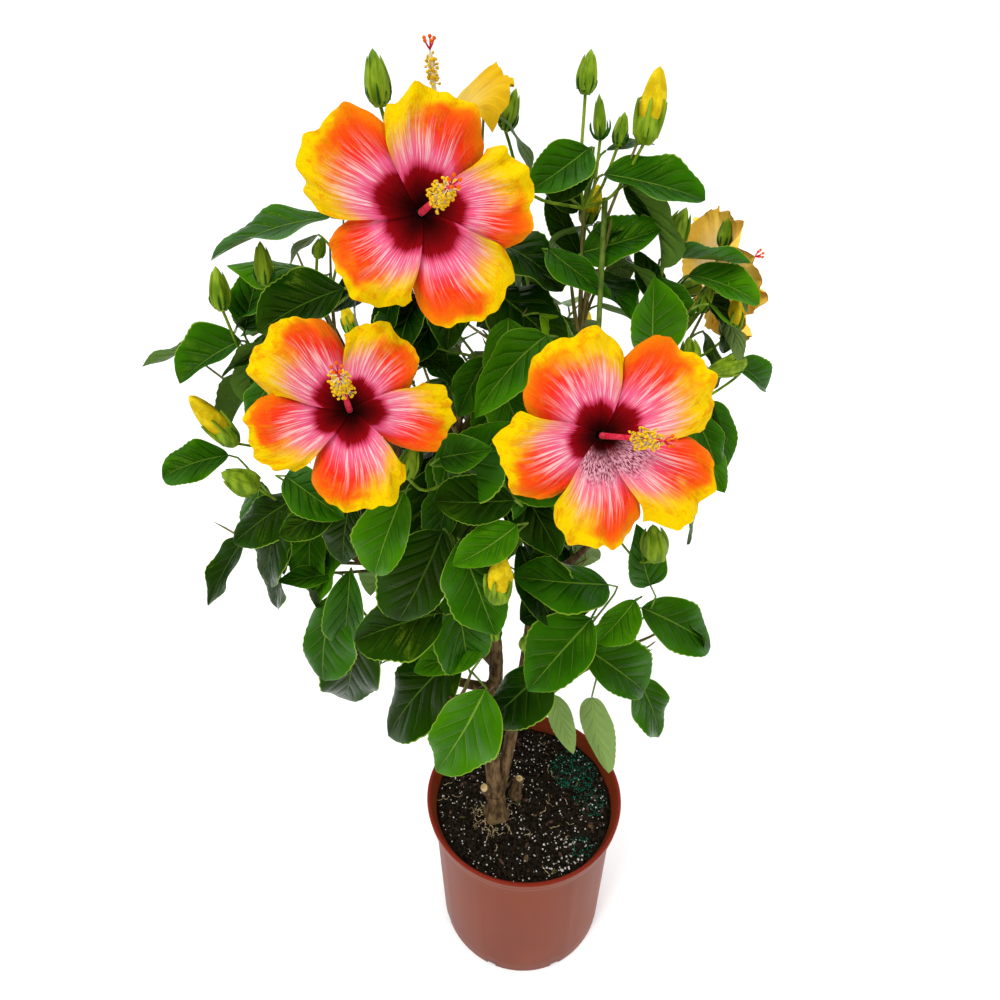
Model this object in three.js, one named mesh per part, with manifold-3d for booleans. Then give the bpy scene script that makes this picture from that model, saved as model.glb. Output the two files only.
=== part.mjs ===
// Hibiscus shrub in a round nursery pot, as separate closed solids.
// Millimetres, +Z up. The origin is the centre of the pot's flat underside, and -Y is the side
// that the three large blooms face. Nothing overlaps: a solid that meets another is cut back
// to leave GAP between them.
import * as THREE from 'three';
import { mergeVertices } from 'three/addons/utils/BufferGeometryUtils.js';
import Module from 'manifold-3d';

const wasm = await Module();
wasm.setup();

// ---------------------------------------------------------------- driving sizes
const GAP = 0.35;

const POT_HEIGHT = 242;
const RIM_RADIUS = 127;
const WALL_TOP_RADIUS = 118;
const FOOT_RADIUS = 113;
const LIP_HEIGHT = 15.5;
const WALL = 2.4;
const POT_FLOOR = 3;
const POT_SIDES = 36;
const DRAIN_HOLES = 8;
const DRAIN_WIDTH = 12;
const DRAIN_HEIGHT = 7;
const SOIL_TOP = 224;

const TRUNK_FOOT = [-36, -22];
const TRUNK_RADIUS = 12;
const ROOT_FLARE = 0.75;
const FORK_HEIGHT = 268;

const CROWN_AXIS = [-60, 0];

const FOLIAGE_FACETS = 2;
const FOLIAGE_BULGES = 12;
const FOLIAGE_CORE = 0.82;
const BULGE_LEAST = 0.1;
const BULGE_SPREAD = 0.26;
const BULGE_TIGHTNESS = 8;

const BOUGH_SAG = 0.12;
const BOUGH_GIRTH = 0.75;
const BOUGH_TIP = 0.4;

const BLOOM_SIDES = 20;
const BLOOM_COLUMN = 58;
const BLOOM_CALYX = 34;
const BLOOM_NOTCH = 0.14;
const STALK_RADIUS = 3;

// ---------------------------------------------------------------- colours
const PLASTIC = { color: 0x9c5440, roughness: 0.45 };
const POTTING_MIX = { color: 0x1d1712, roughness: 1 };
const OLD_BARK = { color: 0x7a6547, roughness: 0.9 };
const YOUNG_BARK = { color: 0x6d5a35, roughness: 0.8 };
const FOLIAGE = { color: 0x2f7a1c, roughness: 0.55 };
const PETALS = { color: 0xf0592e, roughness: 0.6 };

// ---------------------------------------------------------------- small helpers
function seededRandom(seed) {
  let state = seed * 7919 + 17;
  return () => {
    state = (state * 1103515245 + 12345) % 2147483648;
    return state / 2147483648;
  };
}

// Only the positions are kept, and vertices that coincide become one.
function closedMesh(geometry) {
  geometry.deleteAttribute('normal');
  geometry.deleteAttribute('uv');
  return mergeVertices(geometry, 1e-3);
}

function solidOf(geometry) {
  return new wasm.Manifold(new wasm.Mesh({
    numProp: 3,
    vertProperties: Float32Array.from(geometry.attributes.position.array),
    triVerts: Uint32Array.from(geometry.index.array),
  }));
}

function geometryOf(solid) {
  const mesh = solid.getMesh();
  const geometry = new THREE.BufferGeometry();
  geometry.setAttribute('position', new THREE.BufferAttribute(mesh.vertProperties, 3));
  geometry.setIndex(new THREE.BufferAttribute(mesh.triVerts, 1));
  geometry.computeVertexNormals();
  return geometry;
}

// A cut can leave crumbs beyond the neighbour: the piece with the largest volume is the one kept.
function largestPiece(solid) {
  const pieces = solid.decompose();
  return pieces.reduce((best, piece) => (piece.volume() > best.volume() ? piece : best));
}

function moveVertices(geometry, move) {
  const position = geometry.attributes.position;
  const vertex = new THREE.Vector3();
  for (let i = 0; i < position.count; i += 1) {
    vertex.fromBufferAttribute(position, i);
    move(vertex);
    position.setXYZ(i, vertex.x, vertex.y, vertex.z);
  }
  return geometry;
}

// A place in the crown: bearing in degrees from +X towards +Y, reach from the crown's axis, height.
function inCrown(bearing, reach, height) {
  const angle = THREE.MathUtils.degToRad(bearing);
  return new THREE.Vector3(
    CROWN_AXIS[0] + reach * Math.cos(angle),
    CROWN_AXIS[1] + reach * Math.sin(angle),
    height,
  );
}

// ---------------------------------------------------------------- pot and soil
function lathe(profile, sides) {
  const points = profile.map(([radius, height]) => new THREE.Vector2(radius, height));
  return closedMesh(new THREE.LatheGeometry(points, sides).rotateX(Math.PI / 2));
}

function potShell() {
  const lipFoot = POT_HEIGHT - LIP_HEIGHT;
  return lathe([
    [0, 0],
    [FOOT_RADIUS - 3, 0],
    [FOOT_RADIUS, 3],
    [WALL_TOP_RADIUS, lipFoot - 4],
    [RIM_RADIUS - 2, lipFoot],
    [RIM_RADIUS - 0.6, lipFoot + 2],
    [RIM_RADIUS, POT_HEIGHT - 3],
    [RIM_RADIUS - 2, POT_HEIGHT],
    [RIM_RADIUS - 5, POT_HEIGHT - 0.6],
    [WALL_TOP_RADIUS + 1.5, lipFoot + 5],
    [WALL_TOP_RADIUS - WALL, lipFoot - 2],
    [FOOT_RADIUS - WALL, POT_FLOOR + 3],
    [FOOT_RADIUS - WALL - 3, POT_FLOOR],
    [0, POT_FLOOR],
  ], POT_SIDES);
}

// Slots round the foot, each open through the wall and the floor's edge.
function drainHole(bearing) {
  const slot = new THREE.BoxGeometry(4 * WALL + 6, DRAIN_WIDTH, DRAIN_HEIGHT + 4);
  slot.translate(FOOT_RADIUS, 0, DRAIN_HEIGHT / 2 - 2);
  return closedMesh(slot.rotateZ(bearing));
}

function pot() {
  let shell = solidOf(potShell());
  for (let i = 0; i < DRAIN_HOLES; i += 1) {
    const bearing = ((i + 0.5) * 2 * Math.PI) / DRAIN_HOLES;
    shell = shell.subtract(solidOf(drainHole(bearing)));
  }
  return shell;
}

// The potting mix fills the pot from its floor to a level top, rounded off at the wall.
function soil() {
  const taper = (WALL_TOP_RADIUS - FOOT_RADIUS) / (POT_HEIGHT - LIP_HEIGHT);
  const radiusAt = (height) => FOOT_RADIUS - WALL - 2 * GAP + height * taper;
  return solidOf(lathe([
    [0, POT_FLOOR + GAP],
    [radiusAt(0) - 4, POT_FLOOR + GAP],
    [radiusAt(8), POT_FLOOR + 8],
    [radiusAt(SOIL_TOP - 8), SOIL_TOP - 5],
    [radiusAt(SOIL_TOP) - 6, SOIL_TOP],
    [0, SOIL_TOP],
  ], POT_SIDES));
}

// ---------------------------------------------------------------- limbs
// One tapering limb along a smooth route. flare widens the foot into low root lobes.
function limb({ route, radius, tip, steps, sides = 9, flare = 0 }, clearance) {
  const curve = new THREE.CatmullRomCurve3(route);
  const frames = curve.computeFrenetFrames(steps, false);
  const rings = Array.from({ length: steps + 1 }, (_, i) => curve.getPointAt(i / steps));
  const tube = closedMesh(new THREE.CylinderGeometry(100, 100, steps, sides, steps));
  moveVertices(tube, (vertex) => {
    const ring = Math.round(vertex.y + steps / 2);
    const along = ring / steps;
    const angle = Math.atan2(vertex.z, vertex.x);
    const lobes = 1 + flare * (1 - along) ** 4 * (1 + 0.35 * Math.cos(4 * angle + 1));
    const girth = THREE.MathUtils.lerp(radius, tip, along) * lobes + clearance;
    const reach = (Math.hypot(vertex.x, vertex.z) / 100) * girth;
    vertex.copy(rings[ring]);
    vertex.addScaledVector(frames.normals[ring], reach * Math.cos(angle));
    vertex.addScaledVector(frames.binormals[ring], reach * Math.sin(angle));
    if (flare > 0 && ring === 0) vertex.z = rings[0].z;
  });
  const solid = solidOf(tube);
  return solid.volume() < 0 ? solidOf(turnedInsideOut(tube)) : solid;
}

function turnedInsideOut(geometry) {
  const order = geometry.index.array;
  for (let i = 0; i < order.length; i += 3) {
    [order[i], order[i + 1]] = [order[i + 1], order[i]];
  }
  return geometry;
}

// ---------------------------------------------------------------- foliage masses
// A closed, uneven, lobed body: a faceted ball, stretched to its half sizes, with rounded
// bulges where clumps of leaves push out and shallow hollows between them.
function foliage({ at, size, seed }, clearance) {
  const random = seededRandom(seed);
  const clumps = Array.from({ length: FOLIAGE_BULGES }, () => {
    const height = 2 * random() - 1;
    const angle = 2 * Math.PI * random();
    const level = Math.sqrt(1 - height * height);
    return {
      towards: new THREE.Vector3(level * Math.cos(angle), level * Math.sin(angle), height),
      swell: BULGE_LEAST + BULGE_SPREAD * random(),
    };
  });
  const ball = closedMesh(new THREE.IcosahedronGeometry(100, FOLIAGE_FACETS));
  const stretch = new THREE.Vector3(...size);
  moveVertices(ball, (vertex) => {
    vertex.normalize();
    const bulge = clumps.reduce((sum, clump) => (
      sum + clump.swell * Math.exp(BULGE_TIGHTNESS * (vertex.dot(clump.towards) - 1))
    ), FOLIAGE_CORE);
    vertex.multiplyScalar(bulge).multiply(stretch);
    vertex.setLength(vertex.length() + clearance).add(at);
  });
  return solidOf(ball);
}

// ---------------------------------------------------------------- large blooms
// An open five-petalled bloom: calyx and stalk end behind, a shallow dish of petals with five
// round lobes, and the stamen column standing out of its throat. It is turned to face a point.
function bloom({ at, facing, width, cup }, clearance) {
  const rim = width / 2 + clearance;
  const dish = lathe([
    [0, -BLOOM_CALYX - clearance],
    [7 + clearance, -BLOOM_CALYX + 8],
    [8 + clearance, -12 - clearance],
    [0.55 * rim, cup * 0.35 - 5 - clearance],
    [rim, cup - 3 - clearance],
    [rim, cup + 4 + clearance],
    [0.5 * rim, cup * 0.35 + 2 + clearance],
    [5 + clearance, 4 + clearance],
    [4 + clearance, BLOOM_COLUMN - 22],
    [9 + clearance, BLOOM_COLUMN - 12],
    [0, BLOOM_COLUMN + clearance],
  ], BLOOM_SIDES);
  moveVertices(dish, (vertex) => {
    const angle = Math.atan2(vertex.y, vertex.x);
    const spread = Math.hypot(vertex.x, vertex.y) / rim;
    const notch = 1 - BLOOM_NOTCH * spread * spread * (1 - Math.abs(Math.cos(2.5 * angle)));
    vertex.x *= notch;
    vertex.y *= notch;
  });
  const turn = new THREE.Quaternion().setFromUnitVectors(
    new THREE.Vector3(0, 0, 1),
    new THREE.Vector3(...facing).normalize(),
  );
  return solidOf(moveVertices(dish, (vertex) => vertex.applyQuaternion(turn).add(at)));
}

// ---------------------------------------------------------------- the plant's limbs
const vector = (x, y, z) => new THREE.Vector3(x, y, z);
const [footX, footY] = TRUNK_FOOT;

const fork = vector(footX - 1, footY + 1, FORK_HEIGHT);
const leftStemTop = inCrown(200, 25, 700);
const rightStemTop = inCrown(20, 75, 640);

const trunk = {
  route: [
    vector(footX, footY, SOIL_TOP + GAP),
    vector(footX + 0.5, footY, (SOIL_TOP + FORK_HEIGHT) / 2),
    fork,
  ],
  radius: TRUNK_RADIUS,
  tip: TRUNK_RADIUS - 1,
  flare: ROOT_FLARE,
  steps: 6,
};

const stems = {
  stem_left: {
    route: [fork, vector(-42, -20, 370), vector(-38, -12, 530), leftStemTop],
    radius: 9.8,
    tip: 6,
    steps: 12,
  },
  stem_right: {
    route: [vector(-33, -18, FORK_HEIGHT - 6), vector(-17, -8, 370), vector(0, 6, 500), rightStemTop],
    radius: 8,
    tip: 5.5,
    steps: 12,
  },
};

const stubs = {
  stub_front: {
    route: [vector(-38, -22, 268), vector(-48, -30, 296)],
    radius: 6.5,
    tip: 5,
    steps: 2,
  },
  stub_back: {
    route: [vector(-11, 5, SOIL_TOP + GAP), vector(-9, 6, SOIL_TOP + 16), vector(-6, 8, SOIL_TOP + 31)],
    radius: 7.4,
    tip: 6.2,
    flare: 0.3,
    steps: 4,
  },
};

const left = stems.stem_left;
const right = stems.stem_right;

// Each mass of foliage: where its middle is, its half sizes, and the stem that its bough leaves,
// with how far along. The two with no bough of their own close the crown between the others.
const masses = {
  low_front: { at: inCrown(248, 104, 506), size: [74, 66, 80], seed: 1, from: [left, 0.45] },
  low_left: { at: inCrown(188, 120, 515), size: [84, 76, 84], seed: 2, from: [left, 0.42] },
  low_back_left: { at: inCrown(118, 135, 510), size: [90, 80, 84], seed: 3, from: [left, 0.5] },
  low_back_right: { at: inCrown(55, 145, 525), size: [92, 82, 84], seed: 4, from: [right, 0.5] },
  low_right: { at: inCrown(356, 184, 530), size: [80, 72, 76], seed: 5, from: [right, 0.48] },
  low_front_right: { at: inCrown(322, 130, 553), size: [76, 62, 72], seed: 6, from: [right, 0.55] },
  middle_front: { at: inCrown(281, 120, 660), size: [104, 62, 84], seed: 7, from: [left, 0.7] },
  middle_left: { at: inCrown(184, 190, 688), size: [84, 80, 94], seed: 8, from: [left, 0.75] },
  middle_back_left: { at: inCrown(120, 150, 700), size: [96, 86, 100], seed: 9, from: [left, 0.8] },
  middle_back_right: { at: inCrown(52, 160, 700), size: [98, 86, 96], seed: 10, from: [right, 0.8] },
  middle_right: { at: inCrown(356, 172, 760), size: [70, 80, 84], seed: 11, from: [right, 0.85] },
  middle_core: { at: inCrown(330, 20, 770), size: [100, 90, 92], seed: 12 },
  high_far_left: { at: inCrown(180, 206, 843), size: [76, 62, 44], seed: 13, from: [left, 0.9] },
  high_left: { at: inCrown(172, 135, 893), size: [80, 72, 58], seed: 14, from: [left, 0.97] },
  high_back: { at: inCrown(75, 95, 860), size: [110, 84, 80], seed: 15, from: [right, 0.95] },
  high_front: { at: inCrown(272, 64, 866), size: [94, 44, 62], seed: 19 },
  high_right: { at: inCrown(8, 182, 900), size: [66, 66, 64], seed: 16, from: [right, 0.97] },
  top_left: { at: inCrown(210, 16, 988), size: [66, 60, 92], seed: 17, from: [left, 1] },
  top_right: { at: inCrown(358, 112, 955), size: [64, 62, 86], seed: 18, from: [right, 1] },
};

// Each large bloom: the root of its petals, the way it faces, its width, how deep its dish is,
// and the mass that its stalk comes out of.
const blooms = {
  top: {
    at: vector(-79, -122, 988),
    facing: [0.1, -0.98, 0.19],
    width: 144,
    cup: 16,
    of: masses.top_left,
  },
  left: {
    at: vector(-134, -140, 864),
    facing: [0.16, -0.89, 0.43],
    width: 140,
    cup: 18,
    of: masses.high_left,
  },
  right: {
    at: vector(38, -158, 850),
    facing: [0.08, -0.87, 0.47],
    width: 152,
    cup: 18,
    of: masses.top_right,
  },
};

// A bough leaves its stem at a fraction of the stem's length and sweeps out to its mass.
function boughTo({ at, from: [stem, along] }) {
  const start = new THREE.CatmullRomCurve3(stem.route).getPointAt(along);
  const elbow = start.clone().lerp(at, 0.45);
  elbow.z -= BOUGH_SAG * start.distanceTo(at);
  const girth = THREE.MathUtils.lerp(stem.radius, stem.tip, along);
  return {
    route: [start, elbow, at],
    radius: BOUGH_GIRTH * girth,
    tip: BOUGH_TIP * girth,
    steps: 4,
    sides: 6,
  };
}

// A stalk runs from the back of a bloom's calyx into the mass that the bloom belongs to.
function stalkTo({ at, facing, of }) {
  const calyx = at.clone().addScaledVector(vector(...facing).normalize(), 10 - BLOOM_CALYX);
  const bend = calyx.clone().lerp(of.at, 0.4);
  bend.z -= 12;
  return { route: [of.at, bend, calyx], radius: STALK_RADIUS, tip: STALK_RADIUS, steps: 4, sides: 6 };
}

// ---------------------------------------------------------------- putting it together
const shrub = new THREE.Group();
const taken = [];

// Adds a named solid, cut back from every solid that is in taken.
function place(name, build, finish) {
  const solid = taken.reduce((rest, neighbour) => rest.subtract(neighbour), build(0));
  const mesh = new THREE.Mesh(
    geometryOf(largestPiece(solid)),
    new THREE.MeshStandardMaterial({ ...finish, metalness: 0 }),
  );
  mesh.name = name;
  shrub.add(mesh);
  taken.push(build(GAP));
}

place('pot', pot, PLASTIC);
place('soil', soil, POTTING_MIX);

// The plant starts GAP above the soil and never meets the pot, so those two cut nothing from it.
taken.length = 0;
place('trunk', (clearance) => limb(trunk, clearance), OLD_BARK);
for (const [name, stem] of Object.entries(stems)) {
  place(name, (clearance) => limb(stem, clearance), OLD_BARK);
}
for (const [name, stub] of Object.entries(stubs)) {
  place(name, (clearance) => limb(stub, clearance), OLD_BARK);
}
for (const [name, flower] of Object.entries(blooms)) {
  place(`bloom_${name}`, (clearance) => bloom(flower, clearance), PETALS);
}
for (const [name, mass] of Object.entries(masses)) {
  place(`foliage_${name}`, (clearance) => foliage(mass, clearance), FOLIAGE);
}
for (const [name, mass] of Object.entries(masses)) {
  if (mass.from) place(`bough_${name}`, (clearance) => limb(boughTo(mass), clearance), YOUNG_BARK);
}
for (const [name, flower] of Object.entries(blooms)) {
  place(`stalk_${name}`, (clearance) => limb(stalkTo(flower), clearance), YOUNG_BARK);
}

export default shrub;
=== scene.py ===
import math
import random

import bpy
import numpy as np
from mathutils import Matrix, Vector, noise


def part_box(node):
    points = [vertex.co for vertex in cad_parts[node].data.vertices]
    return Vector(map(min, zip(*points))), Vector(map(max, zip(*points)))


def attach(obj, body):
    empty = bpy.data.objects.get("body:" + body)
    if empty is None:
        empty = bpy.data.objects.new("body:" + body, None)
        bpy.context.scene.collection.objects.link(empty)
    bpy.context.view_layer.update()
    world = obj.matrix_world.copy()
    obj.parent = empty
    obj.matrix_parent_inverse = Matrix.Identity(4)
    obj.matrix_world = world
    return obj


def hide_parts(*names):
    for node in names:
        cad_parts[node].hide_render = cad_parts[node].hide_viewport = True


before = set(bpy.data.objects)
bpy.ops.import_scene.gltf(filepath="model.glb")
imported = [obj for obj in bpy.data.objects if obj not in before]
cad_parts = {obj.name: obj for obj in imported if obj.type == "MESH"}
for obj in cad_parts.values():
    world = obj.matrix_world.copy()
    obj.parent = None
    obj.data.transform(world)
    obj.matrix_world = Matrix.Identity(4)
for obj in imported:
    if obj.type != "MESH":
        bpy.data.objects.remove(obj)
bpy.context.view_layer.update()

TURN = 2 * math.pi
UP = Vector((0, 0, 1))
LEVEL = Vector((1, 1, 0))

# ---------------------------------------------------------------- sizes and places, in metres
RIM_RADIUS = 0.127
POT_HEIGHT = 0.242
WALL_TOP_RADIUS = 0.118
FOOT_RADIUS = 0.113
LIP_HEIGHT = 0.0155
LIP_FOOT = POT_HEIGHT - LIP_HEIGHT
WALL = 0.0024
DRAIN_HOLES = 8
SOIL_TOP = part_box("soil")[1][2]
SOIL_RADIUS = WALL_TOP_RADIUS - WALL - 0.0008
GROUND = SOIL_TOP + 0.0003

CROWN_AXIS = Vector((-0.060, 0.0, 0.0))
CROWN_FOOT = 0.45
CROWN_HEIGHT = 0.55

# The stems follow the same routes as the CAD solids.
FORK = (-0.037, -0.021, 0.268)
TRUNK = [(-0.036, -0.022, GROUND), (-0.0355, -0.022, 0.246), FORK]
STEMS = {
    "left": [FORK, (-0.042, -0.020, 0.370), (-0.038, -0.012, 0.530), (-0.0835, -0.0086, 0.700)],
    "right": [(-0.033, -0.018, 0.262), (-0.017, -0.008, 0.370), (0.0, 0.006, 0.500),
              (0.0105, 0.0257, 0.640)],
}
TRUNK_RADII = (0.012, 0.011)
STEM_RADII = {"left": (0.0098, 0.006), "right": (0.008, 0.0055)}

# The two old cut stubs: route, first and last radius, and how much the foot flares.
STUBS = [
    ([(-0.038, -0.022, 0.266), (-0.0465, -0.0300, 0.282), (-0.0505, -0.0345, 0.297)],
     0.0064, 0.0052, 0.0),
    ([(-0.011, 0.005, GROUND), (-0.009, 0.006, 0.240), (-0.006, 0.008, 0.255)],
     0.0074, 0.0062, 0.3),
]
# Their pale cut faces: middle, and the way each one faces.
CUT_FACES = [
    ((-0.0508, -0.0352, 0.2976), (-0.25, -0.45, 0.86)),
    ((-0.0058, 0.0079, 0.2556), (0.1, 0.1, 1.0)),
]

# Which stem feeds each mass of foliage, and how far up that stem its bough leaves.
FEEDS = {
    "low_front": ("left", 0.45), "low_left": ("left", 0.42), "low_back_left": ("left", 0.5),
    "low_back_right": ("right", 0.5), "low_right": ("right", 0.48), "low_front_right": ("right", 0.55),
    "middle_front": ("left", 0.7), "middle_left": ("left", 0.75), "middle_back_left": ("left", 0.8),
    "middle_back_right": ("right", 0.8), "middle_right": ("right", 0.85), "middle_core": ("left", 0.98),
    "high_far_left": ("left", 0.9), "high_left": ("left", 0.97), "high_back": ("right", 0.95),
    "high_front": ("left", 1.0), "high_right": ("right", 0.97), "top_left": ("left", 1.0),
    "top_right": ("right", 1.0),
}

# Open blooms: middle, the way they face, width, cup of the dish, how far out the maroon eye goes,
# which side of each petal is yellow (+1 anticlockwise), how the stamen column leans, and for each
# petal its bearing seen from the front, half spread in degrees and relative length.
BLOOMS = {
    "top": dict(at=(-0.079, -0.122, 0.988), facing=(0.10, -0.98, 0.19), width=0.137, cup=0.014,
                eye=0.37, hand=1, lean=(0.36, 0.30),
                petals=((0, 36, 0.99), (74, 38, 0.96), (145, 35, 1.08), (219, 39, 0.93),
                        (296, 38, 1.04))),
    "left": dict(at=(-0.134, -0.140, 0.864), facing=(0.16, -0.89, 0.43), width=0.136, cup=0.016,
                 eye=0.33, hand=1, lean=(-0.05, 0.50),
                 petals=((-13, 28, 1.02), (49, 37, 0.90), (124, 37, 1.04), (192, 33, 0.99),
                         (270, 39, 1.0))),
    "right": dict(at=(0.038, -0.158, 0.854), facing=(0.08, -0.87, 0.47), width=0.148, cup=0.016,
                  eye=0.31, hand=-1, lean=(0.58, -0.10),
                  petals=((37, 38, 1.05), (122, 46, 0.94), (200, 34, 0.98), (266, 33, 1.0),
                          (329, 33, 1.07))),
}
# The mass that each bloom's stalk comes out of, and the petals that carry a speckled patch.
BLOOM_MASSES = {"top": "top_left", "left": "high_left", "right": "top_right"}
SPECKLED = {"right": (3, 4)}

# Two older blooms without a CAD solid of their own: one seen from behind and one almost fallen.
OLD_BLOOMS = {
    "side": dict(at=(0.152, 0.046, 0.898), facing=(0.86, 0.30, 0.22), width=0.118, cup=0.016,
                 hand=1, lean=(0.05, 0.1),
                 petals=tuple((20 + 72 * k, 40, 1) for k in range(5))),
    "spent": dict(at=(-0.074, -0.030, 1.028), facing=(-0.06, -0.45, 0.90), width=0.104, cup=0.026,
                  hand=-1, lean=(0.02, 0.06), petals=((22, 40, 1),)),
}
# Their colours at the throat, at the rim and along the veins. The side bloom's are partly its own peach and
# gold and partly painted light, made paler to make up for the shade on its back, which faces away.
OLD_COLOURS = {
    "side": ((255, 222, 160), (255, 208, 84), (238, 174, 58)),
    "spent": ((204, 176, 84), (198, 158, 16), (168, 118, 14)),
}

# The front shoots, leaf by leaf, each by the mass whose bough it grows from. A leaf is: foot of
# the blade in mm (x, y, z), bearing of its tip, how far it falls below level, length in mm, tint,
# how far its upper side tips from straight up (0) to the front (90), breadth over length.
SHOOTS = [
    ("high_far_left", [
        (-255, 10, 853, 185, 2, 92, "mid", -30, 0.52),
        (-250, 0, 860, 215, 15, 62, "mid", 35, 0.8),
        (-245, 0, 870, 335, -65, 55, "mid", 60, 0.7),
        (-225, -20, 858, 215, 5, 42, "dark", 10, 0.6)]),
    ("high_left", [
        (-155, -30, 966, 200, 4, 90, "mid", 24, 0.66),
        (-180, -20, 923, 180, -15, 60, "fresh", 20, 0.7),
        (-145, -60, 923, 210, 10, 70, "dark", 45, 0.75),
        (-205, -60, 857, 225, 40, 45, "mid", 50, 0.8)]),
    ("middle_left", [
        (-275, -20, 760, 200, 0, 60, "mid", 35, 0.75),
        (-205, -60, 743, 200, 25, 72, "dark", 30, 0.7),
        (-220, -70, 732, 215, 62, 82, "dark", 45, 0.6),
        (-270, -40, 682, 205, 50, 78, "dark", 20, 0.55)]),
    ("middle_left", [
        (-200, -100, 787, 325, 12, 60, "mid", 60, 0.7),
        (-165, -90, 748, 205, 5, 52, "dark", 40, 0.65),
        (-155, -90, 753, 215, 70, 62, "dark", 57, 0.75),
        (-105, -120, 785, 230, 55, 74, "fresh", 57, 0.65)]),
    ("low_left", [
        (-185, -60, 657, 205, -5, 52, "mid", 30, 0.5),
        (-188, -60, 632, 216, 66, 106, "mid", 50, 0.6),
        (-175, -60, 574, 211, 80, 118, "dark", 80, 0.64),
        (-168, -70, 668, 220, 80, 100, "mid", 130, 0.45)]),
    ("middle_front", [
        (-85, -80, 626, 195, 0, 85, "dark", 60, 0.85),
        (-79, -98, 733, 222, 62, 98, "dark", 57, 0.72),
        (-64, -110, 732, 310, 60, 88, "mid", 57, 0.7),
        (-18, -120, 754, 215, 25, 60, "fresh", 57, 0.65)]),
    ("middle_core", [
        (-20, -110, 771, 200, -5, 62, "dark", 50, 0.75),
        (-72, -90, 775, 325, -45, 82, "mid", 57, 0.75),
        (-76, -120, 815, 340, -20, 42, "mid", 57, 0.8),
        (-27, -60, 835, 225, 25, 42, "mid", 50, 0.7)]),
    ("high_front", [
        (4, -60, 887, 220, 20, 85, "fresh", 45, 0.6),
        (-41, -50, 865, 220, 45, 52, "mid", 57, 0.75),
        (5, -20, 885, 210, 25, 58, "dark", 40, 0.75),
        (-79, -30, 893, 225, 35, 48, "dark", 50, 0.7),
        (-115, -30, 876, 340, 35, 48, "dark", 45, 0.7)]),
    ("low_front", [
        (-49, -70, 572, 201, 0, 72, "fresh", 50, 0.62),
        (-46, -80, 523, 212, 64, 126, "fresh", 57, 0.66),
        (-74, -34, 528, 192, 43, 138, "dark", 50, 0.64)]),
    ("low_front_right", [
        (16, -50, 521, 205, 42, 102, "dark", 50, 0.68),
        (53, -90, 628, 212, 36, 96, "mid", 57, 0.75),
        (56, -50, 550, 345, 30, 90, "mid", 57, 0.75),
        (98, -60, 624, 215, 45, 56, "fresh", 57, 0.75),
        (69, -70, 651, 200, -15, 92, "mid", 15, 0.75),
        (67, -40, 619, 187, 22, 90, "dark", 50, 0.7)]),
    ("low_right", [
        (123, -20, 471, 345, 60, 92, "mid", 57, 0.6),
        (110, -40, 596, 353, 22, 96, "mid", 50, 0.65),
        (31, -20, 447, 330, 76, 84, "fresh", 237, 0.38),
        (72, -30, 454, 0, 85, 122, "fresh", 196, 0.36),
        (116, -40, 625, 180, -68, 70, "mid", 57, 0.65)]),
    ("middle_right", [
        (127, -40, 817, 327, 51, 66, "mid", 50, 0.65),
        (146, -20, 812, 330, 52, 66, "mid", 40, 0.6),
        (88, -50, 867, 230, -75, 66, "fresh", 60, 0.75),
        (165, -20, 847, 0, 30, 44, "mid", 40, 0.7)]),
    ("top_right", [
        (46, 0, 990, 342, 8, 78, "mid", 28, 0.62),
        (34, 0, 1008, 212, 32, 56, "mid", 57, 0.8),
        (34, 5, 1007, 200, 60, 44, "dark", 57, 0.8),
        (0, 30, 987, 333, 45, 42, "dark", 50, 0.7),
        (48, 10, 1005, 0, -15, 40, "mid", 20, 0.5)]),
    ("top_right", [
        (34, 0, 933, 337, -15, 62, "mid", 50, 0.75),
        (34, 20, 926, 180, -57, 54, "dark", 57, 0.45),
        (6, -10, 938, 320, 28, 62, "mid", 45, 0.6),
        (17, 0, 907, 192, -20, 60, "dark", 0, 0.6)]),
    ("high_right", [
        (100, 0, 929, 350, -2, 66, "mid", 0, 0.6),
        (120, 0, 915, 338, 4, 60, "fresh", 30, 0.6),
        (93, 0, 949, 180, -55, 46, "dark", 57, 0.5),
        (96, 0, 913, 310, 36, 42, "mid", 57, 0.75),
        (96, 0, 896, 180, -70, 42, "dark", 57, 0.6)]),
]

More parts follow.
